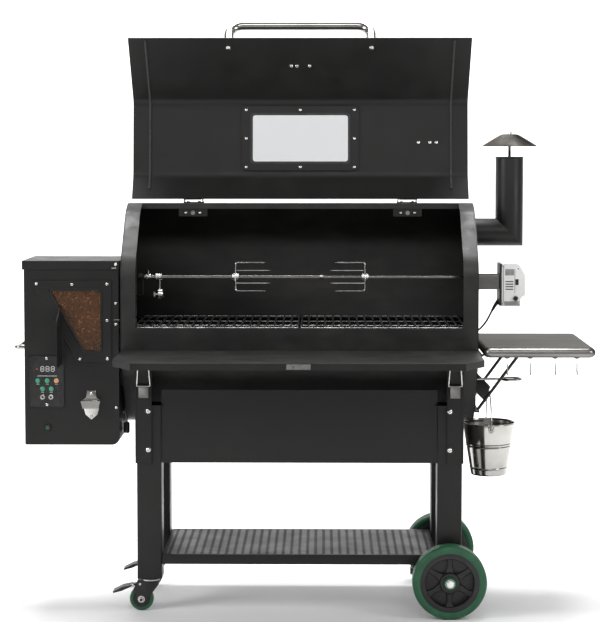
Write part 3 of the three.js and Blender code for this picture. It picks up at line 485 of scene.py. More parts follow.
def pressed_wood(s):
    base = colours().pellet
    s.colour(s.ramp(s.noise(240, 3), (0.25, shade(base, 0.5)), (0.5, base), (0.8, shade(base, 1.7))))
    s.rough(s.ramp(s.noise(300, 2), (0.3, 0.62), (0.75, 0.9)))
    s.bumps((s.noise(1800, 3), 0.5, 0.0005),)


def plain(tint, gloss, *relief, **settings):
    """A finish from one noise for the colour, one for the roughness, and a noise for each bump."""

    def look(s):
        s.set(**settings)
        s.colour(s.ramp(s.noise(*tint[0]), *tint[1:]))
        s.rough(s.ramp(s.noise(*gloss[0]), *gloss[1:]))
        if relief:
            s.bumps(*[(s.noise(*grain), strength, depth) for grain, strength, depth in relief])

    return look


panel_face = plain(((60, 3), (0.3, 0.010), (0.75, 0.018)), ((30, 4), (0.3, 0.22), (0.8, 0.38)),
                   ((1600, 2), 0.15, 0.0002))
digits = plain(((500, 1), (0.3, 0.45), (0.8, 0.6)), ((200, 2), (0.3, 0.3), (0.8, 0.5)),
               Emission_Color=(0.8, 0.85, 0.8, 1), Emission_Strength=0.25)
key_green = plain(((200, 2), (0.3, (0.02, 0.22, 0.12)), (0.8, (0.05, 0.36, 0.21))),
                  ((300, 2), (0.3, 0.3), (0.8, 0.5)))
key_orange = plain(((200, 2), (0.3, (0.52, 0.24, 0.09)), (0.8, (0.66, 0.34, 0.16))),
                   ((300, 2), (0.3, 0.3), (0.8, 0.5)))
print_white = plain(((300, 2), (0.3, 0.55), (0.8, 0.72)), ((300, 2), (0.3, 0.4), (0.8, 0.55)))
white_paint = plain(((25, 4), (0.3, (0.82, 0.82, 0.81)), (0.75, (0.90, 0.90, 0.89))),
                    ((40, 3), (0.3, 0.28), (0.8, 0.45)), ((700, 2), 0.15, 0.0003),
                    Coat_Weight=0.2, Coat_Roughness=0.2)
label_grey = plain(((80, 3), (0.3, 0.24), (0.75, 0.33)), ((90, 3), (0.3, 0.3), (0.8, 0.5)),
                   ((500, 2), 0.1, 0.0002))
pale_plate = plain(((120, 3, (1, 6, 1)), (0.3, 0.15), (0.75, 0.24)), ((90, 3), (0.3, 0.25), (0.8, 0.4)),
                   Metallic=0.6)
cable_jacket = plain(((50, 3), (0.3, 0.010), (0.75, 0.020)), ((120, 3), (0.3, 0.42), (0.8, 0.6)),
                     ((1400, 2), 0.2, 0.0002))
gasket = plain(((200, 5), (0.3, 0.022), (0.75, 0.06)), ((90, 3), (0.3, 0.75), (0.8, 0.95)),
               ((900, 4), 0.6, 0.0008))


def lamp_red(s):
    s.set(Base_Color=(0.3, 0.02, 0.01, 1), Emission_Color=(1.0, 0.12, 0.04, 1), Emission_Strength=0.8)
    s.rough(s.ramp(s.noise(200, 2), (0.3, 0.2), (0.8, 0.35)))


def studio_floor(s):
    """Pale floor that glows more and more towards the far wall."""
    s.colour(s.ramp(s.noise(1.5, 3), (0.3, 0.84), (0.8, 0.88)))
    s.rough(s.ramp(s.noise(3, 2), (0.3, 0.55), (0.8, 0.7)))
    depth = s.add("ShaderNodeSeparateXYZ")
    s.link(s.place, depth.inputs["Vector"])
    spread = s.add("ShaderNodeMapRange")
    s.link(depth.outputs["Y"], spread.inputs["Value"])
    spread.inputs["From Min"].default_value = -0.1
    spread.inputs["From Max"].default_value = 3.4
    s.link(s.ramp(spread.outputs["Result"], (0.0, 0.0), (0.3, 0.35), (1.0, 1.0)),
           s.surface.inputs["Emission Color"])
    s.set(Emission_Strength=1.0)


MAKERS = {
    "coat": (powder_coat, "coat"), "painted_light_coat": (painted_light_coat, "coat"), "enamel": (enamel, "enamel"),
    "brushed": (brushed, "steel"), "polished": (polished, "steel"), "plated": (plated, "wire"),
    "galvanised": (galvanised, "galvanised"), "moulded": (moulded, "plastic"),
    "tread": (tread, "tread"), "glass": (clear_glass, "glass"), "pellets": (pressed_wood, "panel"),
    "panel": (panel_face, "panel"), "lamp": (lamp_red, "panel"), "digits": (digits, "panel"),
    "key_green": (key_green, "panel"), "key_orange": (key_orange, "panel"),
    "print": (print_white, "panel"), "white": (white_paint, "steel"), "label": (label_grey, "panel"),
    "plate": (pale_plate, "steel"), "cable": (cable_jacket, "cable"), "gasket": (gasket, "cable"),
    "floor": (studio_floor, None),
}


def finish(name):
    if name not in FINISHES:
        shader = Shader("finish_" + name)
        MAKERS[name][0](shader)
        FINISHES[name] = shader.material
    return FINISHES[name]


# ------------------------------------------------------------------ pieces


def smoothed(mesh, sharp):
    """Smooth shading everywhere but over edges sharper than the angle."""
    mesh.polygons.foreach_set("use_smooth", np.ones(len(mesh.polygons), bool))
    mesh.set_sharp_from_angle(angle=math.radians(sharp))


def rounded_edges(obj, width, segments=2, angle=40):
    bevel = obj.modifiers.new("edges", "BEVEL")
    bevel.width = width * MM
    bevel.segments = segments
    bevel.limit_method = "ANGLE"
    bevel.angle_limit = math.radians(angle)
    bevel.harden_normals = True


def piece(name, solid, look, body="grill", replaced=(), sharp=35, edge=0.0):
    """Puts a solid in the scene as one object at the origin, faces outwards, with its finish."""
    vertices, faces = solid
    mesh = bpy.data.meshes.new(name)
    mesh.from_pydata(metres(vertices).tolist(), [], faces)
    shell = bmesh.new()
    shell.from_mesh(mesh)
    bmesh.ops.remove_doubles(shell, verts=shell.verts, dist=2e-6)
    bmesh.ops.dissolve_degenerate(shell, dist=1e-7, edges=shell.edges)
    bmesh.ops.recalc_face_normals(shell, faces=shell.faces)
    shell.to_mesh(mesh)
    shell.free()
    smoothed(mesh, sharp)
    obj = bpy.data.objects.new(name, mesh)
    bpy.context.scene.collection.objects.link(obj)
    mesh.materials.append(finish(look))
    if edge:
        rounded_edges(obj, edge)
    if body is None:
        return obj
    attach(obj, body)
    if replaced:
        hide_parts(*replaced)
    return obj


def recoated(node, look, sharp=35, edge=0.0, name=None):
    """A merged copy of a CAD node with smooth bends and rounded edges, which stands for the node."""
    mesh = frame["nodes"][node].data.copy()
    shell = bmesh.new()
    shell.from_mesh(mesh)
    bmesh.ops.remove_doubles(shell, verts=shell.verts, dist=2e-6)
    bmesh.ops.dissolve_limit(
        shell, angle_limit=math.radians(0.6), verts=shell.verts, edges=shell.edges
    )
    shell.to_mesh(mesh)
    shell.free()
    smoothed(mesh, sharp)
    obj = bpy.data.objects.new(name or node + "_sheet", mesh)
    bpy.context.scene.collection.objects.link(obj)
    mesh.materials.clear()
    mesh.materials.append(finish(look))
    if edge:
        rounded_edges(obj, edge)
    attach(obj, BODY_OF[node])
    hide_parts(node)
    return obj


def coated(look, *nodes):
    """Gives CAD nodes that stay as they are their finish."""
    for node in nodes:
        data = frame["nodes"][node]
        data.data.materials.clear()
        data.data.materials.append(finish(look))


# ------------------------------------------------------------------ lid places

HINGE = np.array([0.0, 226.0, 1270.0])
OPEN_ANGLE = math.radians(140)
SLOPE = math.sqrt(0.5)
WINDOW_CENTRE = np.array([0.0, 71.5, 1154.5])
UP_SLOPE = np.array([0.0, SLOPE, SLOPE])
OUT_OF_SLOPE = np.array([0.0, -SLOPE, SLOPE])


def opened(solid):
    """A solid drawn on the shut lid, turned back about the hinge's line by the open angle."""
    points, faces = solid
    y, z = (points - HINGE)[:, 1], (points - HINGE)[:, 2]
    c, s = math.cos(OPEN_ANGLE), math.sin(OPEN_ANGLE)
    turned_back = np.column_stack([points[:, 0], y * c + z * s, z * c - y * s])
    return turned_back + HINGE * [0, 1, 1], faces


def on_window(u, v, w):
    """A place on the lid's slanted panel: u across, v up the slope and w out of it."""
    return WINDOW_CENTRE + u * X + v * UP_SLOPE + w * OUT_OF_SLOPE


def from_window(solid):
    """A solid drawn flat in (u, v, w), laid on the slanted panel."""
    points, faces = solid
    return points @ np.array([X, UP_SLOPE, OUT_OF_SLOPE]) + WINDOW_CENTRE, faces


# ------------------------------------------------------------------ pieces of the grill


def build_lid():
    recoated("lid_shell", "coat", sharp=25, edge=0.8)
    recoated("lid_window_frame", "coat", sharp=30, edge=1.2)
    coated("glass", "lid_window_glass")
    radius = millimetres("handle_radius")
    path = bent([(-222, -12.3, 855), (-222, -104.3, 841), (222, -104.3, 841), (222, -12.3, 855)], 50,
                12)
    bosses = [turned([(0, -14), (17, -14), (19, -11), (19, 0), (0, 0)], (x, -12.4, 855), "y", 28)
              for x in (-222, 222)]
    piece("lid_handle_bar", opened(merged(tube(path, radius, 24), *bosses)), "polished", "lid",
          ["lid_handle"])
    inside = -9.4
    screws = [on_window(u, v, inside) for u, v in
              [(-172, -91), (0, -91), (172, -91), (-172, 0), (172, 0), (-172, 91), (0, 91), (172, 91)]]
    bolts = [on_window(u, 12, -2.5) for u in (375, 411, 432)]
    rivets = copies(button_head(5.2, 3.4), screws, -OUT_OF_SLOPE)
    studs = copies(button_head(6.0, 4.5), bolts, -OUT_OF_SLOPE)
    badge = copies(button_head(6.0, 4.5), [(x, -9.5, 927) for x in (-27, -10, 30)], Y)
    nuts = copies(acorn_nut(9, 8), [(-222, -9.5, 855), (222, -9.5, 855)], Y)
    piece("lid_fasteners", opened(merged(rivets, studs, badge, nuts)), "plated", "lid")
    heads = copies(button_head(5.5, 2.6), [(x, -12, 927) for x in (-27, -10, 30)], -Y)
    out = copies(button_head(5.5, 2.6), [on_window(u, 12, 0) for u in (375, 411, 432)], OUT_OF_SLOPE)
    piece("lid_outer_heads", opened(merged(heads, out)), "moulded", "lid")
    pane_seal = rimmed((0, 0, 0), 158, 80.5, 10,
                       [(0, -10.2), (5, -10.2), (6.5, -9.0), (6.5, -7.2), (0, -7.2)], closed=True)
    piece("lid_window_seal", opened(from_window(pane_seal)), "gasket", "lid")
    lines = []
    for x in (-478, 478):
        run = bent([(x, 205, 1248.9), (x, 157.4, 1234), (x, -7.2, 1069.3), (x, -7.2, 828)], 40, 8)
        lines.append(tube(run, 3.4, 8))
    piece("lid_side_seals", opened(merged(*lines)), "gasket", "lid")
    edge = tube([(-530, -10.8, 821.5), (530, -10.8, 821.5)], 2.6, 10)
    piece("lid_front_hem", opened(edge), "coat", "lid")


def build_hinges():
    for side, where in ((-1, "left"), (1, "right")):
        recoated(f"hinge_bracket_{where}", "coat", sharp=40, edge=0.6)
        x0, x1 = sorted((side * 294, side * 385))
        piece(f"hinge_backing_{where}", slab(x0, x1, 226.6, 229.6, 1211, 1244), "coat", edge=1.2)
        spots = [(side * x, 226.6, 1223) for x in (318, 362)]
        shank = copies(hex_head(5, 4), [(side * 340, 226.6, 1223)], -Y)
        top = copies(hex_head(5, 4), [(side * x, 260, 1256.4) for x in (322, 356)], Z)
        piece(f"hinge_screws_{where}", merged(copies(button_head(4.4, 3), spots, -Y), shank, top),
              "plated")


def build_drum():
    # The drum's inner sheet gets the lighter coat, which is painted light on its up- and inward-facing
    # surfaces.
    recoated("drum_wrap", "painted_light_coat", sharp=32, edge=0.5)
    recoated("end_plate_left", "coat", sharp=32, edge=0.5)
    recoated("end_plate_right", "coat", sharp=32, edge=0.5)
    coated("galvanised", "drip_tray", "fire_pot", "auger_screw")
    coated("moulded", "auger_motor")
    shield = merged(slab(-230, 110, 110, 290, 700, 702.5), slab(-230, 110, 110, 112.5, 685, 700),
                    slab(-230, 110, 287.5, 290, 685, 700))
    piece("heat_deflector", shield, "galvanised", "heat_shield", ["heat_shield"], edge=0.8)
    turn = np.linspace(0, 2 * math.pi, 40, endpoint=False)
    loop = np.column_stack([667 + 29.9 * np.cos(turn), 185 + 26 * np.sin(turn), np.full(40, 700.0)])
    pull = merged(tube([(105, 185, 700), (639, 185, 700)], 3.6, 14), tube(loop, 4.4, 12, closed=True))
    piece("heat_deflector_pull", pull, "polished", "heat_shield")
    bushing = turned([(9.5, 0), (17, 0), (17, 3), (12, 5), (9.5, 5), (9.5, 0)], (547, 200, 1022), "x",
                     28)
    pull_guide = turned([(5.2, 0), (11, 0), (11, 2.5), (5.2, 2.5), (5.2, 0)], (546.8, 185, 700), "x",
                        24)
    small = copies(hex_head(5, 4), [(-543.3, y, 990) for y in (184, 216)], X)
    outer = copies(button_head(5, 3), [(-546.7, y, 990) for y in (184, 216)], -X)
    ring = [(546.7, 200 + 52 * math.cos(a), 1022 + 48 * math.sin(a)) for a in (0.8, 2.34, 3.94, 5.48)]
    piece("drum_fittings", merged(bushing, pull_guide, small, outer,
                                  copies(button_head(4.6, 3), ring, X)), "plated")


def build_grates():
    """Each half is 21 rods from front to back, two cross rods at their ends and two under them."""
    r = millimetres("grate_rod")
    pitch, half = 25.6, 256.0
    for side, where in ((-1, "left"), (1, "right")):
        middle = side * (2 + half)
        inner = half - r
        across = np.clip((np.arange(21) - 10) * pitch, -inner, inner) + middle
        rods = [tube([(x, 25, 877), (x, 415, 877)], r, 10) for x in across]
        ends = [(middle - inner, middle + inner, y, z) for y, z in
                [(25.2, 877), (414.8, 877), (150, 871.6), (290, 871.6)]]
        rods += [tube([(a, y, z), (b, y, z)], r, 10) for a, b, y, z in ends]
        piece(f"cooking_grate_{where}", merged(*rods), "enamel", replaced=[f"grate_{where}"], sharp=50)


def tine(x, facing, dy, dz, reach):
    """A fork's wire leaves the collar, bends over, and narrows to a point over its last 14 mm."""
    y, z = 200, 1022
    size = math.hypot(dy, dz)
    start = (x, y + dy * 9 / size, z + dz * 9 / size)
    end = x + facing * reach
    path = bent([start, (x, y + dy, z + dz), (end - facing * 14, y + dy, z + dz), (end, y + dy,
                                                                                   z + dz)], 7, 6)
    radius = np.full(len(path), millimetres("tine_radius"))
    radius[-1] = 0.35
    return tube(path, radius, 10)


def collar(x0, x1, radius, inner=6.6):
    """Ring on the spit between two places, with chamfered ends."""
    return turned([(inner, x0), (radius - 1.2, x0), (radius, x0 + 1.2), (radius, x1 - 1.2),
                   (radius - 1.2, x1), (inner, x1), (inner, x0)], (0, 200, 1022), "x", 28)


def build_spit():
    thick = slab(-513, 66.5, 195.5, 204.5, 1017.5, 1026.5)
    piece("spit_bar_left", thick, "polished", "spit", ["spit_rod"], edge=1.4)
    thin = slab(66.5, 640, 196.4, 203.6, 1017.9, 1025.1)
    piece("spit_bar_right", thin, "polished", "spit", edge=0.9)
    joint = collar(60, 74, 7.6, 5.0)
    piece("spit_joint", joint, "polished", "spit")
    prongs = [(0, 45, 96), (42, 17, 111), (0, -45, 96), (-42, -17, 111)]
    for where, x, facing in (("left", -204, 1), ("right", 205, -1)):
        wires = [tine(x, facing, *prong) for prong in prongs]
        screw = copies(wing_screw(3.2, 22, 11), [(x, 200, 1034)], Z)
        piece(f"meat_fork_{where}", merged(collar(x - 12, x + 12, 13), screw, *wires), "plated", "spit",
              [f"spit_fork_{where}"])
    piece("spit_end_collar", collar(-512, -494, 12.5), "galvanised", "spit")
    sleeve = merged(collar(-493.5, -470, 9.6), collar(-457, -436, 11.4),
                    copies(wing_screw(3.0, 16, 8), [(-480, 200, 1031)], Z),
                    tube([(-444, 200, 1012), (-444, 200, 980)], 3.0, 12),
                    copies(wing_screw(2.8, 15, 8), [(-449.5, 200, 966)], -X))
    weight = turned([(0, -449), (16.5, -449), (18, -447), (18, -435), (16.5, -433), (0, -433)],
                    (0, 200, 967), "x", 32)
    piece("balance_weight", merged(sleeve, weight), "plated", "spit", ["spit_counterweight"])


def build_motor():
    outline = [(631, 932), (690, 932), (692, 960), (706, 967), (706, 1030), (690, 1060), (680, 1068),
               (631, 1068)]
    piece("motor_housing", prism(outline, "y", 155, 245), "white", replaced=["rotisserie_motor"],
          edge=3.0)
    plate = slab(625, 631.2, 157, 243, 934, 1066)
    vents = [slab(643, 668, 154.3, 155.6, z, z + 3.2) for z in (985, 993, 1001, 1009)]
    foot = slab(640, 688, 153.6, 156, 936, 949)
    piece("motor_back_plate", merged(plate, *vents), "moulded", edge=0.8)
    piece("motor_panels", merged(slab(642, 670, 154.0, 155.6, 1030, 1050), foot), "label", edge=0.8)
    knob = turned([(0, -9), (6.4, -9), (7.2, -7.5), (7.2, 0), (0, 0)], (675, 155.2, 958), "y", 24)
    rocker = slab(674, 684, 152.6, 155.8, 1000, 1018)
    piece("motor_controls", merged(knob, rocker), "moulded", edge=0.8)
    seam = merged(slab(636, 638, 154.5, 155.4, 940, 1060), slab(671.5, 673.2, 154.5, 155.4, 975, 1050))
    piece("motor_seams", seam, "label", edge=0.2)
    screws = [(x, 155, z) for x, z in [(636.5, 1060), (684, 1052), (636.5, 942), (685, 942)]]
    back = [(x, 245, z) for x, _, z in screws]
    piece("motor_screws", merged(copies(button_head(3.2, 2), screws, -Y),
                                 copies(button_head(3.2, 2), back, Y)), "plated")
    recoated("motor_bracket", "brushed", sharp=40, edge=0.8)


def pellets():
    """Short rods that lie every way behind the window: one ring turned by each rod's own frame."""
    count, r = 1500, millimetres("pellet_radius")
    pick = np.random.default_rng(11)
    spots = np.column_stack([pick.uniform(-780, -598, count * 2), pick.uniform(10.6, 17, count * 2),
                             pick.uniform(800, 1001, count * 2)])
    slant = -782 + (1004 - spots[:, 2]) * (119 / 206)
    spots = spots[spots[:, 0] > slant + 6][:count]
    yaw, tilt = pick.uniform(0, math.pi, len(spots)), pick.normal(0, 0.16, len(spots))
    along = np.column_stack([np.cos(yaw) * np.cos(tilt), np.sin(tilt), np.sin(yaw) * np.cos(tilt)])
    side = unit(np.cross(along, Y))
    rise = np.cross(side, along)
    length = pick.uniform(4.5, 9.5, len(spots))
    turn = np.linspace(0, 2 * math.pi, 8, endpoint=False)
    ring = r * (np.cos(turn)[None, :, None] * side[:, None] + np.sin(turn)[None, :, None] * rise[:,
                                                                                                 None])
    ends = spots[:, None, None] + np.array([-1, 1])[None, :, None, None] * (
        length[:, None] * along)[:, None, None] + ring[:, None]
    points = ends.reshape(-1, 3)
    base = np.arange(len(spots))[:, None, None] * 16
    k = np.arange(8)
    walls = np.stack([k, (k + 1) % 8, (k + 1) % 8 + 8, k + 8], -1)[None] + base
    faces = walls.reshape(-1, 4).tolist()
    for cap in (k[::-1], k + 8):
        faces += (cap[None] + base[:, 0]).tolist()
    return points, faces


def window_bead(corners, y, radius):
    """A round bead that runs once round a polygon, with its corners rounded."""
    corners = [np.array([x, y, z], float) for x, z in corners]
    start = (corners[0] + corners[-1]) / 2
    path = bent([start, *corners, start], 9, 5)[:-1]
    return tube(path, radius, 10, closed=True)


def build_hopper():
    recoated("hopper_box", "coat", sharp=32, edge=0.8)
    recoated("hopper_lid", "coat", sharp=32, edge=1.4)
    recoated("hopper_window_frame", "coat", sharp=32, edge=1.0)
    coated("glass", "hopper_window_glass")
    bead = window_bead([(-766, 996), (-604, 996), (-604, 806), (-659, 806)], 2.2, 3.4)
    rim = window_bead([(-816, 1021.5), (-575.5, 1022.5), (-575.5, 771.5), (-676, 771.5)], 2.6, 2.0)
    piece("hopper_window_beads", merged(bead, rim), "coat")
    piece("wood_pellets", pellets(), "pellets", sharp=60)
    heap = [(-775, 1001), (-597, 1001), (-597, 799), (-664, 799)]
    piece("pellet_heap", prism(heap, "y", 17.5, 30), "pellets")
    on_frame = [(-803, 1.7, 1014), (-694, 1.7, 1012), (-587, 1.7, 1013), (-587, 1.7, 902),
                (-587, 1.7, 784), (-672, 1.7, 784), (-737, 1.7, 900)]
    on_face = [(-561, 5, 954), (-561, 5, 890), (-561, 5, 634)]
    screws = merged(copies(button_head(4.8, 3.2), on_frame, -Y), copies(button_head(4.8, 3.2), on_face,
                                                                        -Y),
                    copies(button_head(5.0, 3.4), [(-560, 0, 1073)], -Y))
    side = copies(button_head(4.6, 3), [(-842, y, z) for y in (25, 225) for z in (540, 760, 1040)], -X)
    behind = copies(button_head(4.6, 3),
                    [(x, 245, z) for x in (-825, -570) for z in (540, 700, 860, 1030)], Y)
    piece("hopper_screws", merged(screws, side, behind), "plated")
    lip = slab(-566, -549.5, 2.2, 5, 903, 904.6)
    stop = slab(-572, -558, -4, 0.2, 1060, 1064)
    piece("hopper_small_trim", merged(lip, stop), "plated", edge=0.3)
    blade = [(1.5, 955), (-30, 938), (-95, 908), (-95, 774), (-88, 766), (1.5, 766)]
    piece("hopper_blade", prism(blade, "x", -729.2, -727.2), "coat", edge=0.6)
    path = bent([(-842.3, 65, 812), (-879.3, 65, 812), (-879.3, 185, 812), (-842.3, 185, 812)], 14, 8)
    feet = [turned([(0, 0), (11, 0), (11, -2), (8, -5), (0, -5)], (-842.2, y, 812), "x", 24)
            for y in (65, 185)]
    piece("hopper_side_handle", merged(tube(path, 6, 18), *feet), "polished",
          replaced=["hopper_handle"])
    recoated("bottle_opener", "polished", sharp=50, edge=1.0)
    piece("opener_screws", copies(button_head(5, 3), [(-637, 1.8, 677), (-637, 1.8, 606)], -Y),
          "plated")
    hook = tube(bent([(-552.4, 100, 608), (-546, 100, 604), (-540, 100, 590), (-540, 100, 572)], 6, 5),
                3.0, 12)
    tip = turned([(0, 540), (7, 540), (8.6, 543), (0, 543)], (-540, 100, 0), "z", 24)
    piece("drain_rod", merged(hook, tip), "polished")
    grip = turned([(0, 542.8), (9.2, 542.8), (9.8, 546), (9.8, 571), (8.6, 574), (0, 574)],
                  (-540, 100, 0), "z", 28)
    piece("drain_grip", grip, "moulded")


SEGMENTS = [(0.5, 1, True), (0.5, 0.5, True), (0.5, 0, True), (0, 0.75, False), (0, 0.25, False),
            (1, 0.75, False), (1, 0.25, False)]


def figure_eight(x, z, width, height):
    """The seven bars of one figure: flat bars lie across, upright bars stand on either side."""
    bars = []
    for u, v, flat in SEGMENTS:
        cx, cz = x + u * width, z + v * height
        half_x, half_z = (width * 0.36, 0.8) if flat else (0.8, height * 0.19)
        bars.append(slab(cx - half_x, cx + half_x, 0.85, 1.4, cz - half_z, cz + half_z))
    return merged(*bars)


def button_disc(x, z, radius, rise):
    return turned([(0, -rise), (radius * 0.86, -rise), (radius, -rise * 0.5), (radius, 0.2), (0, 0.2)],
                  (x, 1.6, z), "y", 28)


def build_panel():
    face = slab(-825.7, -721.6, 1.7, 4.7, 635, 792)
    piece("control_face", face, "panel", replaced=["control_panel"], edge=0.8)
    rails = [slab(-825.7, -721.6, 0.6, 2, 788.5, 792), slab(-825.7, -721.6, 0.6, 2, 635, 638.5),
             slab(-825.7, -822.2, 0.6, 2, 635, 792), slab(-725.1, -721.6, 0.6, 2, 635, 792)]
    screen = slab(-796, -743, 1.2, 2, 741, 764)
    piece("control_rim", merged(*rails, screen), "moulded", edge=0.4)
    eights = [figure_eight(x, 745.5, 9.5, 14.5) for x in (-791.5, -775.5, -759.5)]
    piece("control_figures", merged(*eights), "digits")
    piece("control_lamp", button_disc(-803, 752, 1.7, 1.0), "lamp")
    greens = [(-801, 716.5), (-772, 716.5), (-786.5, 691.5), (-760, 691.5)]
    piece("control_keys_green", merged(*[button_disc(x, z, 7.2, 1.4) for x, z in greens]), "key_green")
    piece("control_key_orange", button_disc(-744, 716.5, 7.2, 1.4), "key_orange")
    marks = [(x, z - 10.5, 4.5) for x, z in greens + [(-744, 716.5)]] + [(-772, 731, 30)]
    dashes = [slab(x - w, x + w, 1.35, 1.9, z - 0.6, z + 0.6) for x, z, w in marks]
    piece("control_marks", merged(*dashes), "print")
    jacks = [turned([(3.4, -2.6), (7.2, -2.6), (8, -1.6), (8, 0), (3.4, 0), (3.4, -2.6)],
                    (x, 1.6, 666), "y", 28) for x in (-786.5, -761)]
    screws = copies(button_head(4.6, 3), [(-773, 1.7, 785), (-773, 1.7, 643)], -Y)
    piece("control_jacks", merged(*jacks, screws), "plated")
    holes = [turned([(0, -0.6), (3.3, -0.6), (3.3, 0.3), (0, 0.3)], (x, 1.6, 666), "y", 16)
             for x in (-786.5, -761)]
    piece("control_jack_holes", merged(*holes), "moulded")
    cap = turned([(0, 14), (9.5, 14), (9.5, 0.8), (8.7, 0), (7.5, 0), (5, 0.7), (0, 0.9)],
                 (-773, 0, 571), "y", 32)
    piece("power_button_cap", cap, "moulded", "power_button", ["power_button"])
    turn = np.linspace(math.radians(125), math.radians(415), 22)
    arc = np.column_stack([-773 + 3.4 * np.cos(turn), np.full(22, 0.6), 571 + 3.4 * np.sin(turn)])
    mark = merged(tube(arc, 0.65, 8), tube([(-773, 0.6, 571.2), (-773, 0.6, 575.6)], 0.65, 8))
    piece("power_button_mark", mark, "key_green", "power_button")
    bezel = turned([(10.4, 5), (14, 5), (14, 3.2), (12.6, 1.4), (11, 1.4), (10.4, 2.4), (10.4, 5)],
                   (-773, 0, 571), "y", 32)
    piece("power_button_bezel", bezel, "moulded")


def build_chimney():
    """The pipe runs level from the drum, turns up at a mitre, and its inner wall runs back inside."""
    x0, y0, z0, top = 668.0, 300.0, 1159.0, 1400.0
    turn = np.linspace(0, 2 * math.pi, 48, endpoint=False)
    rows = []
    for r, back in ((44.0, False), (42.0, True)):
        c, s = r * np.cos(turn), r * np.sin(turn)
        start = np.column_stack([np.full(48, 547.0), y0 + c, z0 + s])
        mitre = np.column_stack([x0 - s, y0 + c, z0 + s])
        near = np.column_stack([x0 - s - 4, y0 + c, z0 + s])
        after = np.column_stack([x0 - s, y0 + c, z0 + s + 4])
        lip = np.column_stack([x0 - s, y0 + c, np.full(48, top - 1.0)])
        end = np.column_stack([x0 - s * (1 - 0.3 / r), y0 + c * (1 - 0.3 / r), np.full(48, top)])
        wall = [start, near, mitre, after, lip, end]
        rows += wall[::-1] if back else wall
    piece("chimney_tube", grid(np.array(rows), along=True), "coat", replaced=["chimney_pipe"], sharp=40)
    flange = turned([(43.6, 0), (58, 0), (58, 2), (56.5, 3), (43.6, 3), (43.6, 0)], (546.9, y0, z0),
                    "x", 48)
    strap = slab(x0 - 43, x0 + 43, y0 - 8, y0 + 8, top - 14, top - 10.5)
    seam = turned([(43.8, 0), (45.2, 0.8), (45.2, 3.2), (43.8, 4), (43.8, 0)], (x0, y0, top - 6), "z",
                  48)
    piece("chimney_fittings", merged(flange, strap, seam), "coat", edge=0.3)
    spots = [(550, y0 + 51 * math.cos(a), z0 + 51 * math.sin(a)) for a in (0.75, 2.39, 3.89, 5.53)]
    nuts = [turned([(4.7, h), (9, h), (9, h + 6), (4.7, h + 6), (4.7, h)], (x0, y0, top), "z", 6)
            for h in (-20.5, -10.2)]
    piece("chimney_bolts", merged(copies(hex_head(5, 4.5), spots, X), *nuts), "plated")
    k = np.linspace(0, 1, 9)
    rise = 37 * (1 - k ** 1.08)
    cone = [(0, 37), (20, 37)] + list(zip(25 + 61.5 * k, rise * 0.985))
    roll = [(87.2, -0.4), (87.3, -1.6), (86.4, -2.0), (85.2, -1.2)]
    under = [(r - 1.2, h - 1.8) for r, h in cone[:1:-1]] + [(0, 34.8)]
    piece("chimney_hat", turned(cone + roll + under, (x0, y0, 1435), "z", 64), "galvanised",
          "chimney_cap", ["chimney_cap"])
    h = np.linspace(-75, 36, 112)
    stem = turned([(0, -75.5), *zip(4.4 + 0.4 * (np.arange(112) % 2), h), (0, 36.5)],
                  (x0, y0, 1435), "z", 16)
    nut = copies(acorn_nut(8, 12), [(x0, y0, 1472)], Z)
    lock = turned([(4.6, 24), (10, 24), (10, 30), (4.6, 30), (4.6, 24)], (x0, y0, 1435), "z", 6)
    piece("chimney_stem", merged(stem, nut, lock), "plated", "chimney_cap")


def build_front_shelf():
    recoated("front_shelf", "coat", sharp=32, edge=1.4)
    piece("front_shelf_plate", slab(-33, 37, -337, -335.6, 793.5, 808.5), "plate", "front_shelf",
          edge=0.5)
    rivets = [(s * x, -16.5 - 3.4, 772) for s in (-1, 1) for x in (467, 483)]
    ends = [(s * 475, -315, 794.4) for s in (-1, 1)]
    piece("front_shelf_rivets", merged(copies(button_head(3.6, 2), rivets, -Y),
                                       copies(button_head(4.0, 2), ends, -Z)), "plated", "front_shelf")
    for where, side in (("left", -1), ("right", 1)):
        recoated(f"latch_lever_{where}", "brushed", sharp=40, edge=0.7)
        middle, y, z = side * 475, -23.3, 704
        legs = bent([(middle - 20, y, z), (middle - 20, y, z + 6), (middle - 17, y - 4, 756),
                     (middle + 17, y - 4, 756), (middle + 20, y, z + 6), (middle + 20, y, z)], 5, 5)
        wire = merged(tube(legs, 2, 12), tube([(middle - 21, y, z), (middle + 21, y, z)], 2, 12))
        piece(f"latch_wire_{where}", wire, "plated", f"latch_bail_{where}", [f"latch_bail_{where}"])


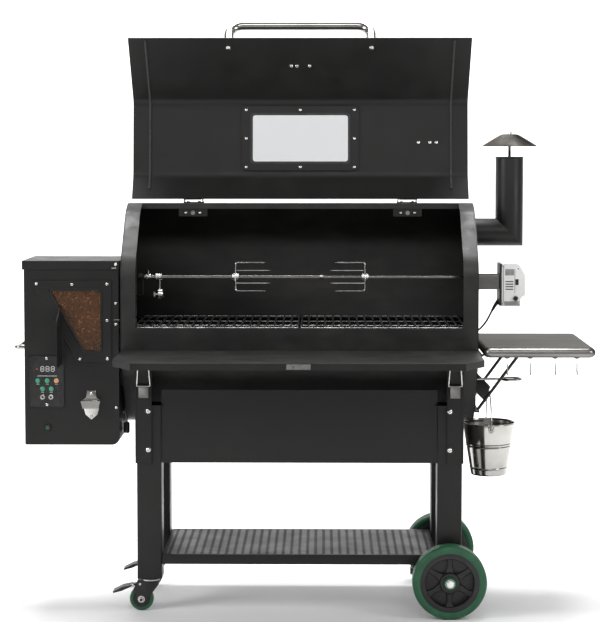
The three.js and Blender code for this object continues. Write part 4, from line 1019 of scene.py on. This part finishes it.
def build_side_shelf():
    """A pressed tray: its edge is a half round 30 mm high, and its top is one flat sheet."""
    centre, half = (733.5, 219.5, 0), (171.5, 229.5)
    turn = np.linspace(0, math.pi, 13)
    edge = [(15 - 15 * math.sin(a), 804 + 15 * math.cos(a)) for a in turn]
    profile = [(150, 819), (40, 819), (20, 819), *edge, (26, 789), (26, 790.2), (16.5, 790.6),
               (3.2, 804), (16.5, 817.6), (150, 817.6)]
    piece("side_shelf_tray", rimmed(centre, *half, 26, profile), "brushed", "side_shelf",
          ["side_shelf"],
          sharp=30)
    piece("side_shelf_pivot", tube([(556, 4, 795), (556, 434, 795)], 4.4, 16), "coat", "side_shelf")
    tabs = [slab(556, 566, y - 12, y + 12, 791, 794.5) for y in (40, 220, 400)]
    piece("side_shelf_tabs", merged(*tabs), "coat", "side_shelf", edge=0.6)
    hooks = []
    for x in (634, 704, 780, 846):
        path = bent([(x, 2, 788.4), (x, -4, 770), (x, -4, 742), (x, -20, 736), (x, -25, 750)], 7, 6)
        hooks += [tube(path, 2.1, 12), slab(x - 7, x + 7, -2, 8, 786.6, 789.4)]
    piece("side_shelf_hooks", merged(*hooks), "plated", "side_shelf")
    recoated("side_shelf_strut", "coat", sharp=50, edge=0.5)
    recoated("side_shelf_bracket", "coat", sharp=40, edge=0.8)
    spots = [(550, y, z) for y in (136, 310) for z in (660, 740)]
    piece("side_shelf_bolts", copies(hex_head(5, 4), spots, X), "plated")


def build_bucket():
    """The wall widens evenly upwards, r = 57 + 0.158 (h + 168), with three pressed beads."""
    x, y, rim = 602, 245, 556
    h = np.linspace(-165, -12, 90)
    beads = sum(1.7 * np.exp(-((h - level) / 1.5) ** 2) for level in (-68, -75, -145))
    wall = 57 + 0.1575 * (h + 168)
    outer = list(zip(wall + beads, h))
    lip = [(82.6, -7)] + [(83.3 + 2.6 * math.cos(a), -2.7 + 2.6 * math.sin(a))
                          for a in np.linspace(-1.6, 3.0, 12)]
    inner = [(r - 1.3, k) for r, k in outer[::-1]]
    profile = [(0, -166.5), (50, -166.5), (54, -168), (56, -168)] + outer + lip + [(79.6, -8)] + inner
    profile += [(54.5, -164.5), (50, -165.1), (0, -165.1)]
    ears = []
    for side in (-1, 1):
        ears.append(turned([(3.4, 84.2), (9, 84.2), (9.6, 85.2), (9.6, 86.4), (9, 87.2), (3.4, 87.2),
                            (3.4, 84.2)], (x, y, 543), "y", 24) if side > 0 else
                    turned([(3.4, -87.2), (9, -87.2), (9.6, -86.4), (9.6, -85.2), (9, -84.2), (3.4,
                                                                                               -84.2),
                            (3.4, -87.2)], (x, y, 543), "y", 24))
        near, far = sorted((y + side * 77.5, y + side * 85.5))
        ears.append(slab(x - 6, x + 6, near, far, 531, 536))
    piece("grease_bucket", turned(profile, (x, y, rim), "z", 72), "polished", "bucket", ["bucket"],
          sharp=40)
    piece("grease_bucket_ears", merged(*ears), "polished", "bucket", edge=0.3)
    turn = np.linspace(0, math.pi, 41)
    arc = np.column_stack([np.full(41, float(x)), y - 93 * np.cos(turn), 543 + 112 * np.sin(turn)])
    path = np.vstack([[x, y - 82, 543], [x, y - 90, 543], arc, [x, y + 90, 543], [x, y + 82, 543]])
    piece("grease_bucket_bail", tube(path, 2.2, 12), "plated", "bucket_bail", ["bucket_bail"])


def perforated(x0, x1, y0, y1, z0, z1, columns, rows):
    """A sheet of equal cells, each with an oval hole.

    Every cell is a ring of quads from 12 places on its own border to 12 on its hole, on both faces,
    and a wall of quads down the hole.
    """
    wide, deep = (x1 - x0) / columns, (y1 - y0) / rows
    border = np.array([(-1, -1), (-1 / 3, -1), (1 / 3, -1), (1, -1), (1, -1 / 3), (1, 1 / 3), (1, 1),
                       (1 / 3, 1), (-1 / 3, 1), (-1, 1), (-1, 1 / 3), (-1, -1 / 3)]) * [wide / 2,
                                                                                        deep / 2]
    angle = np.radians([225, 255, 285, 315, 345, 15, 45, 75, 105, 135, 165, 195])
    hole = np.column_stack([wide * 0.24 * np.cos(angle), deep * 0.30 * np.sin(angle)])
    flat = np.vstack([border, hole])
    cell = np.vstack([np.column_stack([flat, np.full(24, z)]) for z in (z1, z0)])
    k = np.arange(12)
    n = (k + 1) % 12
    ring = np.vstack([
        np.stack([k, n, n + 12, k + 12], -1), np.stack([k + 24, k + 36, n + 36, n + 24], -1),
        np.stack([k + 12, n + 12, n + 36, k + 36], -1),
    ])
    i, j = np.meshgrid(np.arange(columns), np.arange(rows), indexing="ij")
    centres = np.column_stack([x0 + (i.ravel() + 0.5) * wide, y0 + (j.ravel() + 0.5) * deep,
                               np.zeros(i.size)])
    points = (centres[:, None] + cell[None]).reshape(-1, 3)
    faces = (ring[None] + (np.arange(i.size) * 48)[:, None, None]).reshape(-1, 4)
    return points, faces.tolist()


def build_cart():
    for leg in ("leg_front_left", "leg_rear_left", "leg_front_right", "leg_rear_right"):
        recoated(leg, "coat", sharp=32, edge=1.0)
    recoated("drum_cradle", "coat", sharp=32, edge=0.8)
    heads, washers = [], []
    for x in (-461, 459):
        for z in (626, 507):
            heads += [((x, -17.4, z), -Y), ((x, 373.4, z), Y)]
            washers += [((x, -16.1, z), -Y), ((x, 372.1, z), Y)]
    disc = turned([(0, 0), (11.5, 0), (11.5, 1.4), (0, 1.4)], (0, 0, 0), steps=28)
    piece("cradle_bolts", merged(*[copies(button_head(8, 5, 0.4), [p], d) for p, d in heads]), "plated")
    piece("cradle_washers", merged(*[copies(disc, [p], d) for p, d in washers]), "moulded")
    ribs = []
    for side in (-1, 1):
        for x in (452.5, 497.5):
            ribs.append(tube([(side * x, -16.1, 467), (side * x, -16.1, 733)], 1.7, 8))
            ribs.append(tube([(side * x, 372.1, 467), (side * x, 372.1, 680)], 1.7, 8))
    piece("cradle_ribs", merged(*ribs), "coat")
    sheet = perforated(-412, 412, 0, 356, 178.6, 182, 33, 24)
    piece("lower_shelf_sheet", sheet, "coat", sharp=30)
    # A dark sheet just under the perforated sheet: painted shade, standing in for the shadowed floor
    # seen through the holes.
    piece("lower_shelf_painted_shade_sheet", slab(-411, 411, 1, 355, 177.0, 178.2), "moulded")
    centre, half = (0, 178, 0), (421.5, 188)
    rim = rimmed(centre, *half, 4, [(11, 179.4), (11, 182), (2.5, 182), (0.7, 181.2), (0, 179.5), (0,
                                                                                                   152),
                                    (2.5, 152), (2.5, 179.4)], closed=True)
    piece("lower_shelf_rim", rim, "coat", replaced=["bottom_shelf"], sharp=40)


def build_casters():
    for where, y in (("front", 28.0), ("rear", 328.0)):
        fork, wheel, brake = f"caster_fork_{where}", f"caster_wheel_{where}", f"brake_pedal_{where}"
        recoated(fork, "moulded", sharp=40, edge=0.8)
        recoated(brake, "moulded", sharp=40, edge=1.4)
        spot = (-488, y, 37)
        tyre = [(26, -11), (31, -12), (35, -11), (37, -6.5), (37, 6.5), (35, 11), (31, 12), (26, 11),
                (26, -11)]
        hub = [(4.5, -13), (9, -13), (10, -11.5), (22, -9.5), (26.4, -11.4), (26.4, 11.4), (22, 9.5),
               (10, 11.5), (9, 13), (4.5, 13), (4.5, -13)]
        piece(f"caster_tread_{where}", turned(tyre, spot, "y", 48), "tread", wheel, [wheel])
        piece(f"caster_hub_{where}", turned(hub, spot, "y", 40), "moulded", wheel)
        heads = merged(copies(hex_head(8, 8), [(-488, y - 17, 37)], -Y),
                       copies(hex_head(8, 8), [(-488, y + 17, 37)], Y))
        rivets = [(x, y + s * 17, z) for x, z in ((-514, 80), (-492, 84)) for s in (-1,)]
        race = turned([(9, 96), (29, 96), (30, 98), (30, 100), (27, 103), (9, 103), (9, 96)],
                      (-460, y, 0), "z", 40)
        piece(f"caster_fittings_{where}", merged(heads, copies(button_head(4.4, 2.6), rivets, -Y),
                                                 race),
              "plated", fork)
        steps = np.linspace(0.08, 0.94, 7)
        ribs = [tube([(-516 - 60 * k, y - 19, 82.6 - 21.5 * k - 3.0 * k * k * (k > 0.5)),
                      (-516 - 60 * k, y + 19, 82.6 - 21.5 * k - 3.0 * k * k * (k > 0.5))], 1.7, 8)
                for k in steps]
        piece(f"brake_grips_{where}", merged(*ribs), "label", brake)


def build_wheels():
    """Rubber ring, rim with six tapered spokes, boss and a domed cap on the outer side."""
    tyre = [(90, -27), (97, -30), (106, -28.6), (111, -24.5), (113, -17), (113, -9), (111.2, -8.2),
            (111.2, -5.4), (113, -4.6), (113, 4.6), (111.2, 5.4), (111.2, 8.2), (113, 9), (113, 17),
            (111, 24.5), (106, 28.6), (97, 30), (90, 27), (90, -27)]
    rim = [(73, -25), (75, -27.5), (88, -28.4), (90.3, -27), (90.3, 27), (88, 28.4), (75, 27.5), (73,
                                                                                                  25),
           (73, 20), (81, 12), (81, -12), (73, -20), (73, -25)]
    boss = [(8.4, -27), (29, -27), (32, -23), (32, 23), (29, 27), (8.4, 27), (8.4, -27)]
    for where, y, out in (("front", -60.0, -1), ("rear", 416.0, 1)):
        body, spot = f"wheel_{where}", (457, y, 113)
        piece(f"wheel_tyre_{where}", turned(tyre, spot, "y", 80), "tread", body, [body], sharp=40)
        spokes = []
        for k in range(6):
            a = k * math.pi / 3 + math.pi / 6
            c, s = math.cos(a), math.sin(a)
            rows = []
            for r, wide, deep in ((27, 13, 19), (40, 9.5, 14), (56, 8, 11), (68, 9, 12), (76, 13, 15)):
                ring = rounded_rectangle(wide, deep, 3.5, 3)
                rows.append(np.column_stack([457 + r * c - ring[:, 0] * s, y + ring[:, 1],
                                             113 + r * s + ring[:, 0] * c]))
            spokes.append(grid(np.array(rows)))
        web = [(31, -4), (76, -4), (76, 4), (31, 4), (31, -4)]
        discs = [turned(shape, spot, "y", 72) for shape in (rim, boss, web)]
        hub = merged(*discs, *spokes)
        piece(f"wheel_hub_{where}", hub, "moulded", body, sharp=40)
        cap = [(0, 27), (19, 27), (19, 34), (17.5, 36.5), (11, 38.6), (0, 39)]
        cap = [(r, out * h) for r, h in cap]
        piece(f"wheel_cap_{where}", turned(cap, spot, "y", 40), "tread", body)
        piece(f"wheel_bolt_{where}", copies(hex_head(8, 3.6), [(457, y + out * 38.6, 113)], out * Y),
              "plated", body)
    coated("plated", "wheel_axle")


# ------------------------------------------------------------------ lead

LEAD_POINTS = [
    (618, 200, 936), (606, 202, 915), (590, 212, 882), (573, 235, 856), (564, 270, 846), (560, 330,
                                                                                          843),
    (559, 400, 842), (557, 455, 836), (547, 482, 812), (520, 492, 760), (497, 494, 690), (486, 492,
                                                                                          600),
    (482, 489, 480), (481, 488, 340), (481, 488, 200), (481, 488, 110), (481, 488, 80),
    (481, 488, 60), (481, 488, 46),
]
COIL_X, COIL_Y = 449.0, 540.0
COIL_TURN_BACK = 28.0
PLUG_Y = 506.5
LEAD_RADIUS = 3.0
LANDING_RADIUS = 32.0


def smooth_path(points, steps=8):
    """Catmull-Rom curve: a span mixes its ends with half the slope between their neighbours."""
    p = np.asarray(points, float)
    p = np.vstack([2 * p[0] - p[1], p, 2 * p[-1] - p[-2]])
    t = np.linspace(0, 1, steps, endpoint=False)[None, :, None]
    a, b, c, d = (p[k: len(p) - 3 + k][:, None] for k in range(4))
    spans = 0.5 * (2 * b + (c - a) * t + (2 * a - 5 * b + 4 * c - d) * t ** 2
                   + (3 * b - a - 3 * c + d) * t ** 3)
    return np.vstack([spans.reshape(-1, 3), p[-2]])


def landing(corner, start, radius, steps=6):
    """Quarter circle from straight down to level: over = r (1 - cos a), height = r (1 - sin a)."""
    heading = unit(np.array([start[0] - corner[0], start[1] - corner[1], 0.0]))
    a = np.linspace(0, math.pi / 2, steps)[:, None]
    base = np.array([corner[0], corner[1], start[2]])
    return base + radius * ((1 - np.cos(a)) * heading + (1 - np.sin(a)) * Z)


def coil_path():
    """Flat turns about the coil's middle: radius and height ease from each turn's own to the next.

    Columns are turns made, radius and height. The last turn ends heading straight for the plug.
    """
    levels = np.array([[0.0, 36.0, 3.4], [0.6, 36.0, 3.4], [0.97, 29.8, 3.4], [1.3, 29.8, 3.4],
                       [1.75, 29.8, 9.5], [2.3, 36.0, 9.5], [3.0, 36.0, 9.5]])
    turn = np.linspace(0, 3 - COIL_TURN_BACK / 360, 150)
    radius = np.interp(turn, levels[:, 0], levels[:, 1])
    height = np.interp(turn, levels[:, 0], levels[:, 2])
    angle = math.radians(-90 - COIL_TURN_BACK) - 2 * math.pi * turn
    return np.column_stack([COIL_X + radius * np.cos(angle), COIL_Y + radius * np.sin(angle), height])


def build_lead():
    turns = coil_path()
    floor_run = landing(LEAD_POINTS[-1], turns[0], LANDING_RADIUS)
    end = np.array([[430.0, 504.8, 10.4], [412.0, 506.3, 11.8], [404.0, PLUG_Y, 12.0]])
    path = smooth_path(np.vstack([LEAD_POINTS, floor_run, turns[::5], end]), 6)
    line = bpy.data.curves.new("motor_lead", "CURVE")
    line.dimensions = "3D"
    spline = line.splines.new("POLY")
    spline.points.add(len(path) - 1)
    flat = np.column_stack([metres(path), np.ones(len(path))])
    spline.points.foreach_set("co", flat.ravel())
    line.bevel_depth = LEAD_RADIUS * MM
    line.bevel_resolution = 4
    line.use_fill_caps = True
    lead = bpy.data.objects.new("motor_lead", line)
    bpy.context.scene.collection.objects.link(lead)
    line.materials.append(finish("cable"))
    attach(lead, "grill")
    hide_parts("motor_cord", "cord_coil")
    relief_path = smooth_path([(628, 199.5, 950), (618, 200, 936), (612, 201, 926), (606, 202, 915)], 6)
    relief = tube(relief_path, np.linspace(6.6, 3.7, len(relief_path)), 18)
    piece("lead_strain_relief", relief, "moulded")
    plug_rows = [(408.5, 5, 4.5), (402, 8, 7), (396, 11, 9), (380, 13.5, 10.5), (366, 14, 11)]
    rows = []
    for x, wide, high in plug_rows:
        ring = rounded_rectangle(wide, high, min(wide, high) * 0.6, 5)
        rows.append(np.column_stack([np.full(len(ring), x), PLUG_Y + ring[:, 0], 12 + ring[:, 1]]))
    plug = piece("lead_plug", grid(np.array(rows)), "moulded", replaced=["cord_plug"], edge=1.0)


# ------------------------------------------------------------------ stage


def lamp(name, place, aim, power, width, height):
    data = bpy.data.lights.new(name, "AREA")
    data.shape = "RECTANGLE"
    data.size, data.size_y, data.energy = width, height, power
    obj = bpy.data.objects.new(name, data)
    bpy.context.scene.collection.objects.link(obj)
    obj.location = place
    obj.rotation_euler = (Vector(aim) - Vector(place)).to_track_quat("-Z", "Y").to_euler()


def build_stage():
    """Level floor that curves up into a far wall, a dim white world and four soft lamps."""
    bend = np.linspace(0, math.pi / 2, 12)
    y = np.concatenate([[-9000.0], 6500 + 2500 * np.sin(bend), [9000.0]])
    z = np.concatenate([[0.0], 2500 - 2500 * np.cos(bend), [9000.0]])
    x = np.array([-11000.0, 11000.0])
    points = np.stack([np.broadcast_to(x[None, :], (len(y), 2)), np.repeat(y[:, None], 2, 1),
                       np.repeat(z[:, None], 2, 1)], -1)
    solid = grid(points, around=False)
    mesh = bpy.data.meshes.new("floor")
    mesh.from_pydata(metres(solid[0]).tolist(), [], solid[1])
    smoothed(mesh, 60)
    floor = bpy.data.objects.new("floor", mesh)
    bpy.context.scene.collection.objects.link(floor)
    mesh.materials.append(finish("floor"))
    world = bpy.data.worlds.new("studio")
    bpy.context.scene.world = world
    world.use_nodes = True
    world.node_tree.nodes["Background"].inputs["Color"].default_value = (1, 1, 1, 1)
    world.node_tree.nodes["Background"].inputs["Strength"].default_value = 0.27
    lamp("front", (0.3, -3.7, 3.1), (0, 0.2, 1.3), 42, 3.4, 1.3)
    lamp("key", (-3.2, -2.0, 2.6), (0, 0.1, 0.9), 72, 1.1, 2.2)
    lamp("fill", (3.3, -1.8, 2.2), (0, 0.1, 0.8), 38, 1.2, 2.0)
    lamp("top", (0, 0.5, 3.8), (0, 0.2, 0.9), 245, 2.6, 1.6)
    bpy.context.scene.view_settings.view_transform = "Standard"


CAMERA_SPOT = (69.7, -5400, 1425)
CAMERA_DOWN, CAMERA_TURN = math.radians(3.4), math.radians(0.717)


def build_camera():
    """A long lens at the height of the open lid, looking slightly down."""
    data = bpy.data.cameras.new("camera")
    data.lens, data.sensor_width = 102.9, 36.0
    data.shift_y = -0.0908
    data.clip_end = 60
    camera = bpy.data.objects.new("camera", data)
    bpy.context.scene.collection.objects.link(camera)
    camera.location = metres([CAMERA_SPOT])[0]
    camera.rotation_euler = (math.pi / 2 - CAMERA_DOWN, 0, CAMERA_TURN)
    bpy.context.scene.camera = camera


# ------------------------------------------------------------------ operators and panel

STEPS = [
    ("camera", "Camera", "Puts the camera at eye height in front of the grill", build_camera),
    ("lead", "Motor lead", "Lays the spit motor's lead and its coil", build_lead),
    ("stage", "Stage", "Makes the floor and the lamps", build_stage),
    ("lid", "Lid", "Finishes the lid, its window, handle and seals", build_lid),
    ("hinges", "Hinges", "Finishes the lid's two hinges", build_hinges),
    ("drum", "Drum", "Finishes the drum, its ends and what is inside it", build_drum),
    ("grates", "Grates", "Makes the cooking grates' rods", build_grates),
    ("spit", "Spit", "Makes the spit, its forks and its weight", build_spit),
    ("motor", "Spit motor", "Makes the spit motor's housing", build_motor),
    ("hopper", "Hopper", "Finishes the pellet hopper and fills it", build_hopper),
    ("panel", "Control panel", "Makes the control panel and the power button", build_panel),
    ("chimney", "Chimney", "Makes the chimney and its cap", build_chimney),
    ("front_shelf", "Front shelf", "Finishes the front shelf and its latches", build_front_shelf),
    ("side_shelf", "Side shelf", "Makes the steel side shelf and its hooks", build_side_shelf),
    ("bucket", "Grease bucket", "Makes the grease bucket and its bail", build_bucket),
    ("cart", "Cart", "Finishes the legs, the cradle and the lower shelf", build_cart),
    ("casters", "Casters", "Finishes the two braked casters", build_casters),
    ("wheels", "Wheels", "Makes the two large wheels", build_wheels),
]


def operator_for(key, label, text, build):
    """An operator class whose execute runs one build function."""

    def execute(self, context):
        build()
        return {"FINISHED"}

    return type("GRILL_OT_" + key, (bpy.types.Operator,), {
        "bl_idname": "grill." + key, "bl_label": label, "__doc__": text, "bl_options": {"REGISTER"},
        "execute": execute,
    })


OPERATORS = [operator_for(*step) for step in STEPS]


class GRILL_PT_finisher(bpy.types.Panel):
    """Lists the grill's sizes, colours and pieces."""

    bl_label = "Pellet Grill"
    bl_space_type = "VIEW_3D"
    bl_region_type = "UI"
    bl_category = "Grill"

    def draw(self, context):
        for group in (context.scene.grill_sizes, context.scene.grill_colours):
            for key in group.bl_rna.properties.keys():
                if key not in ("rna_type", "name"):
                    self.layout.prop(group, key)
        for key, label, *_ in STEPS:
            self.layout.operator("grill." + key, text=label)


CLASSES = [GrillSizes, GrillColours, *OPERATORS, GRILL_PT_finisher]


def register():
    for cls in CLASSES:
        bpy.utils.register_class(cls)
    bpy.types.Scene.grill_sizes = bpy.props.PointerProperty(type=GrillSizes)
    bpy.types.Scene.grill_colours = bpy.props.PointerProperty(type=GrillColours)


def unregister():
    del bpy.types.Scene.grill_sizes
    del bpy.types.Scene.grill_colours
    for cls in reversed(CLASSES):
        bpy.utils.unregister_class(cls)


def main():
    register()
    for key, *_ in STEPS:
        getattr(bpy.ops.grill, key)()


if __name__ == "__main__":
    main()
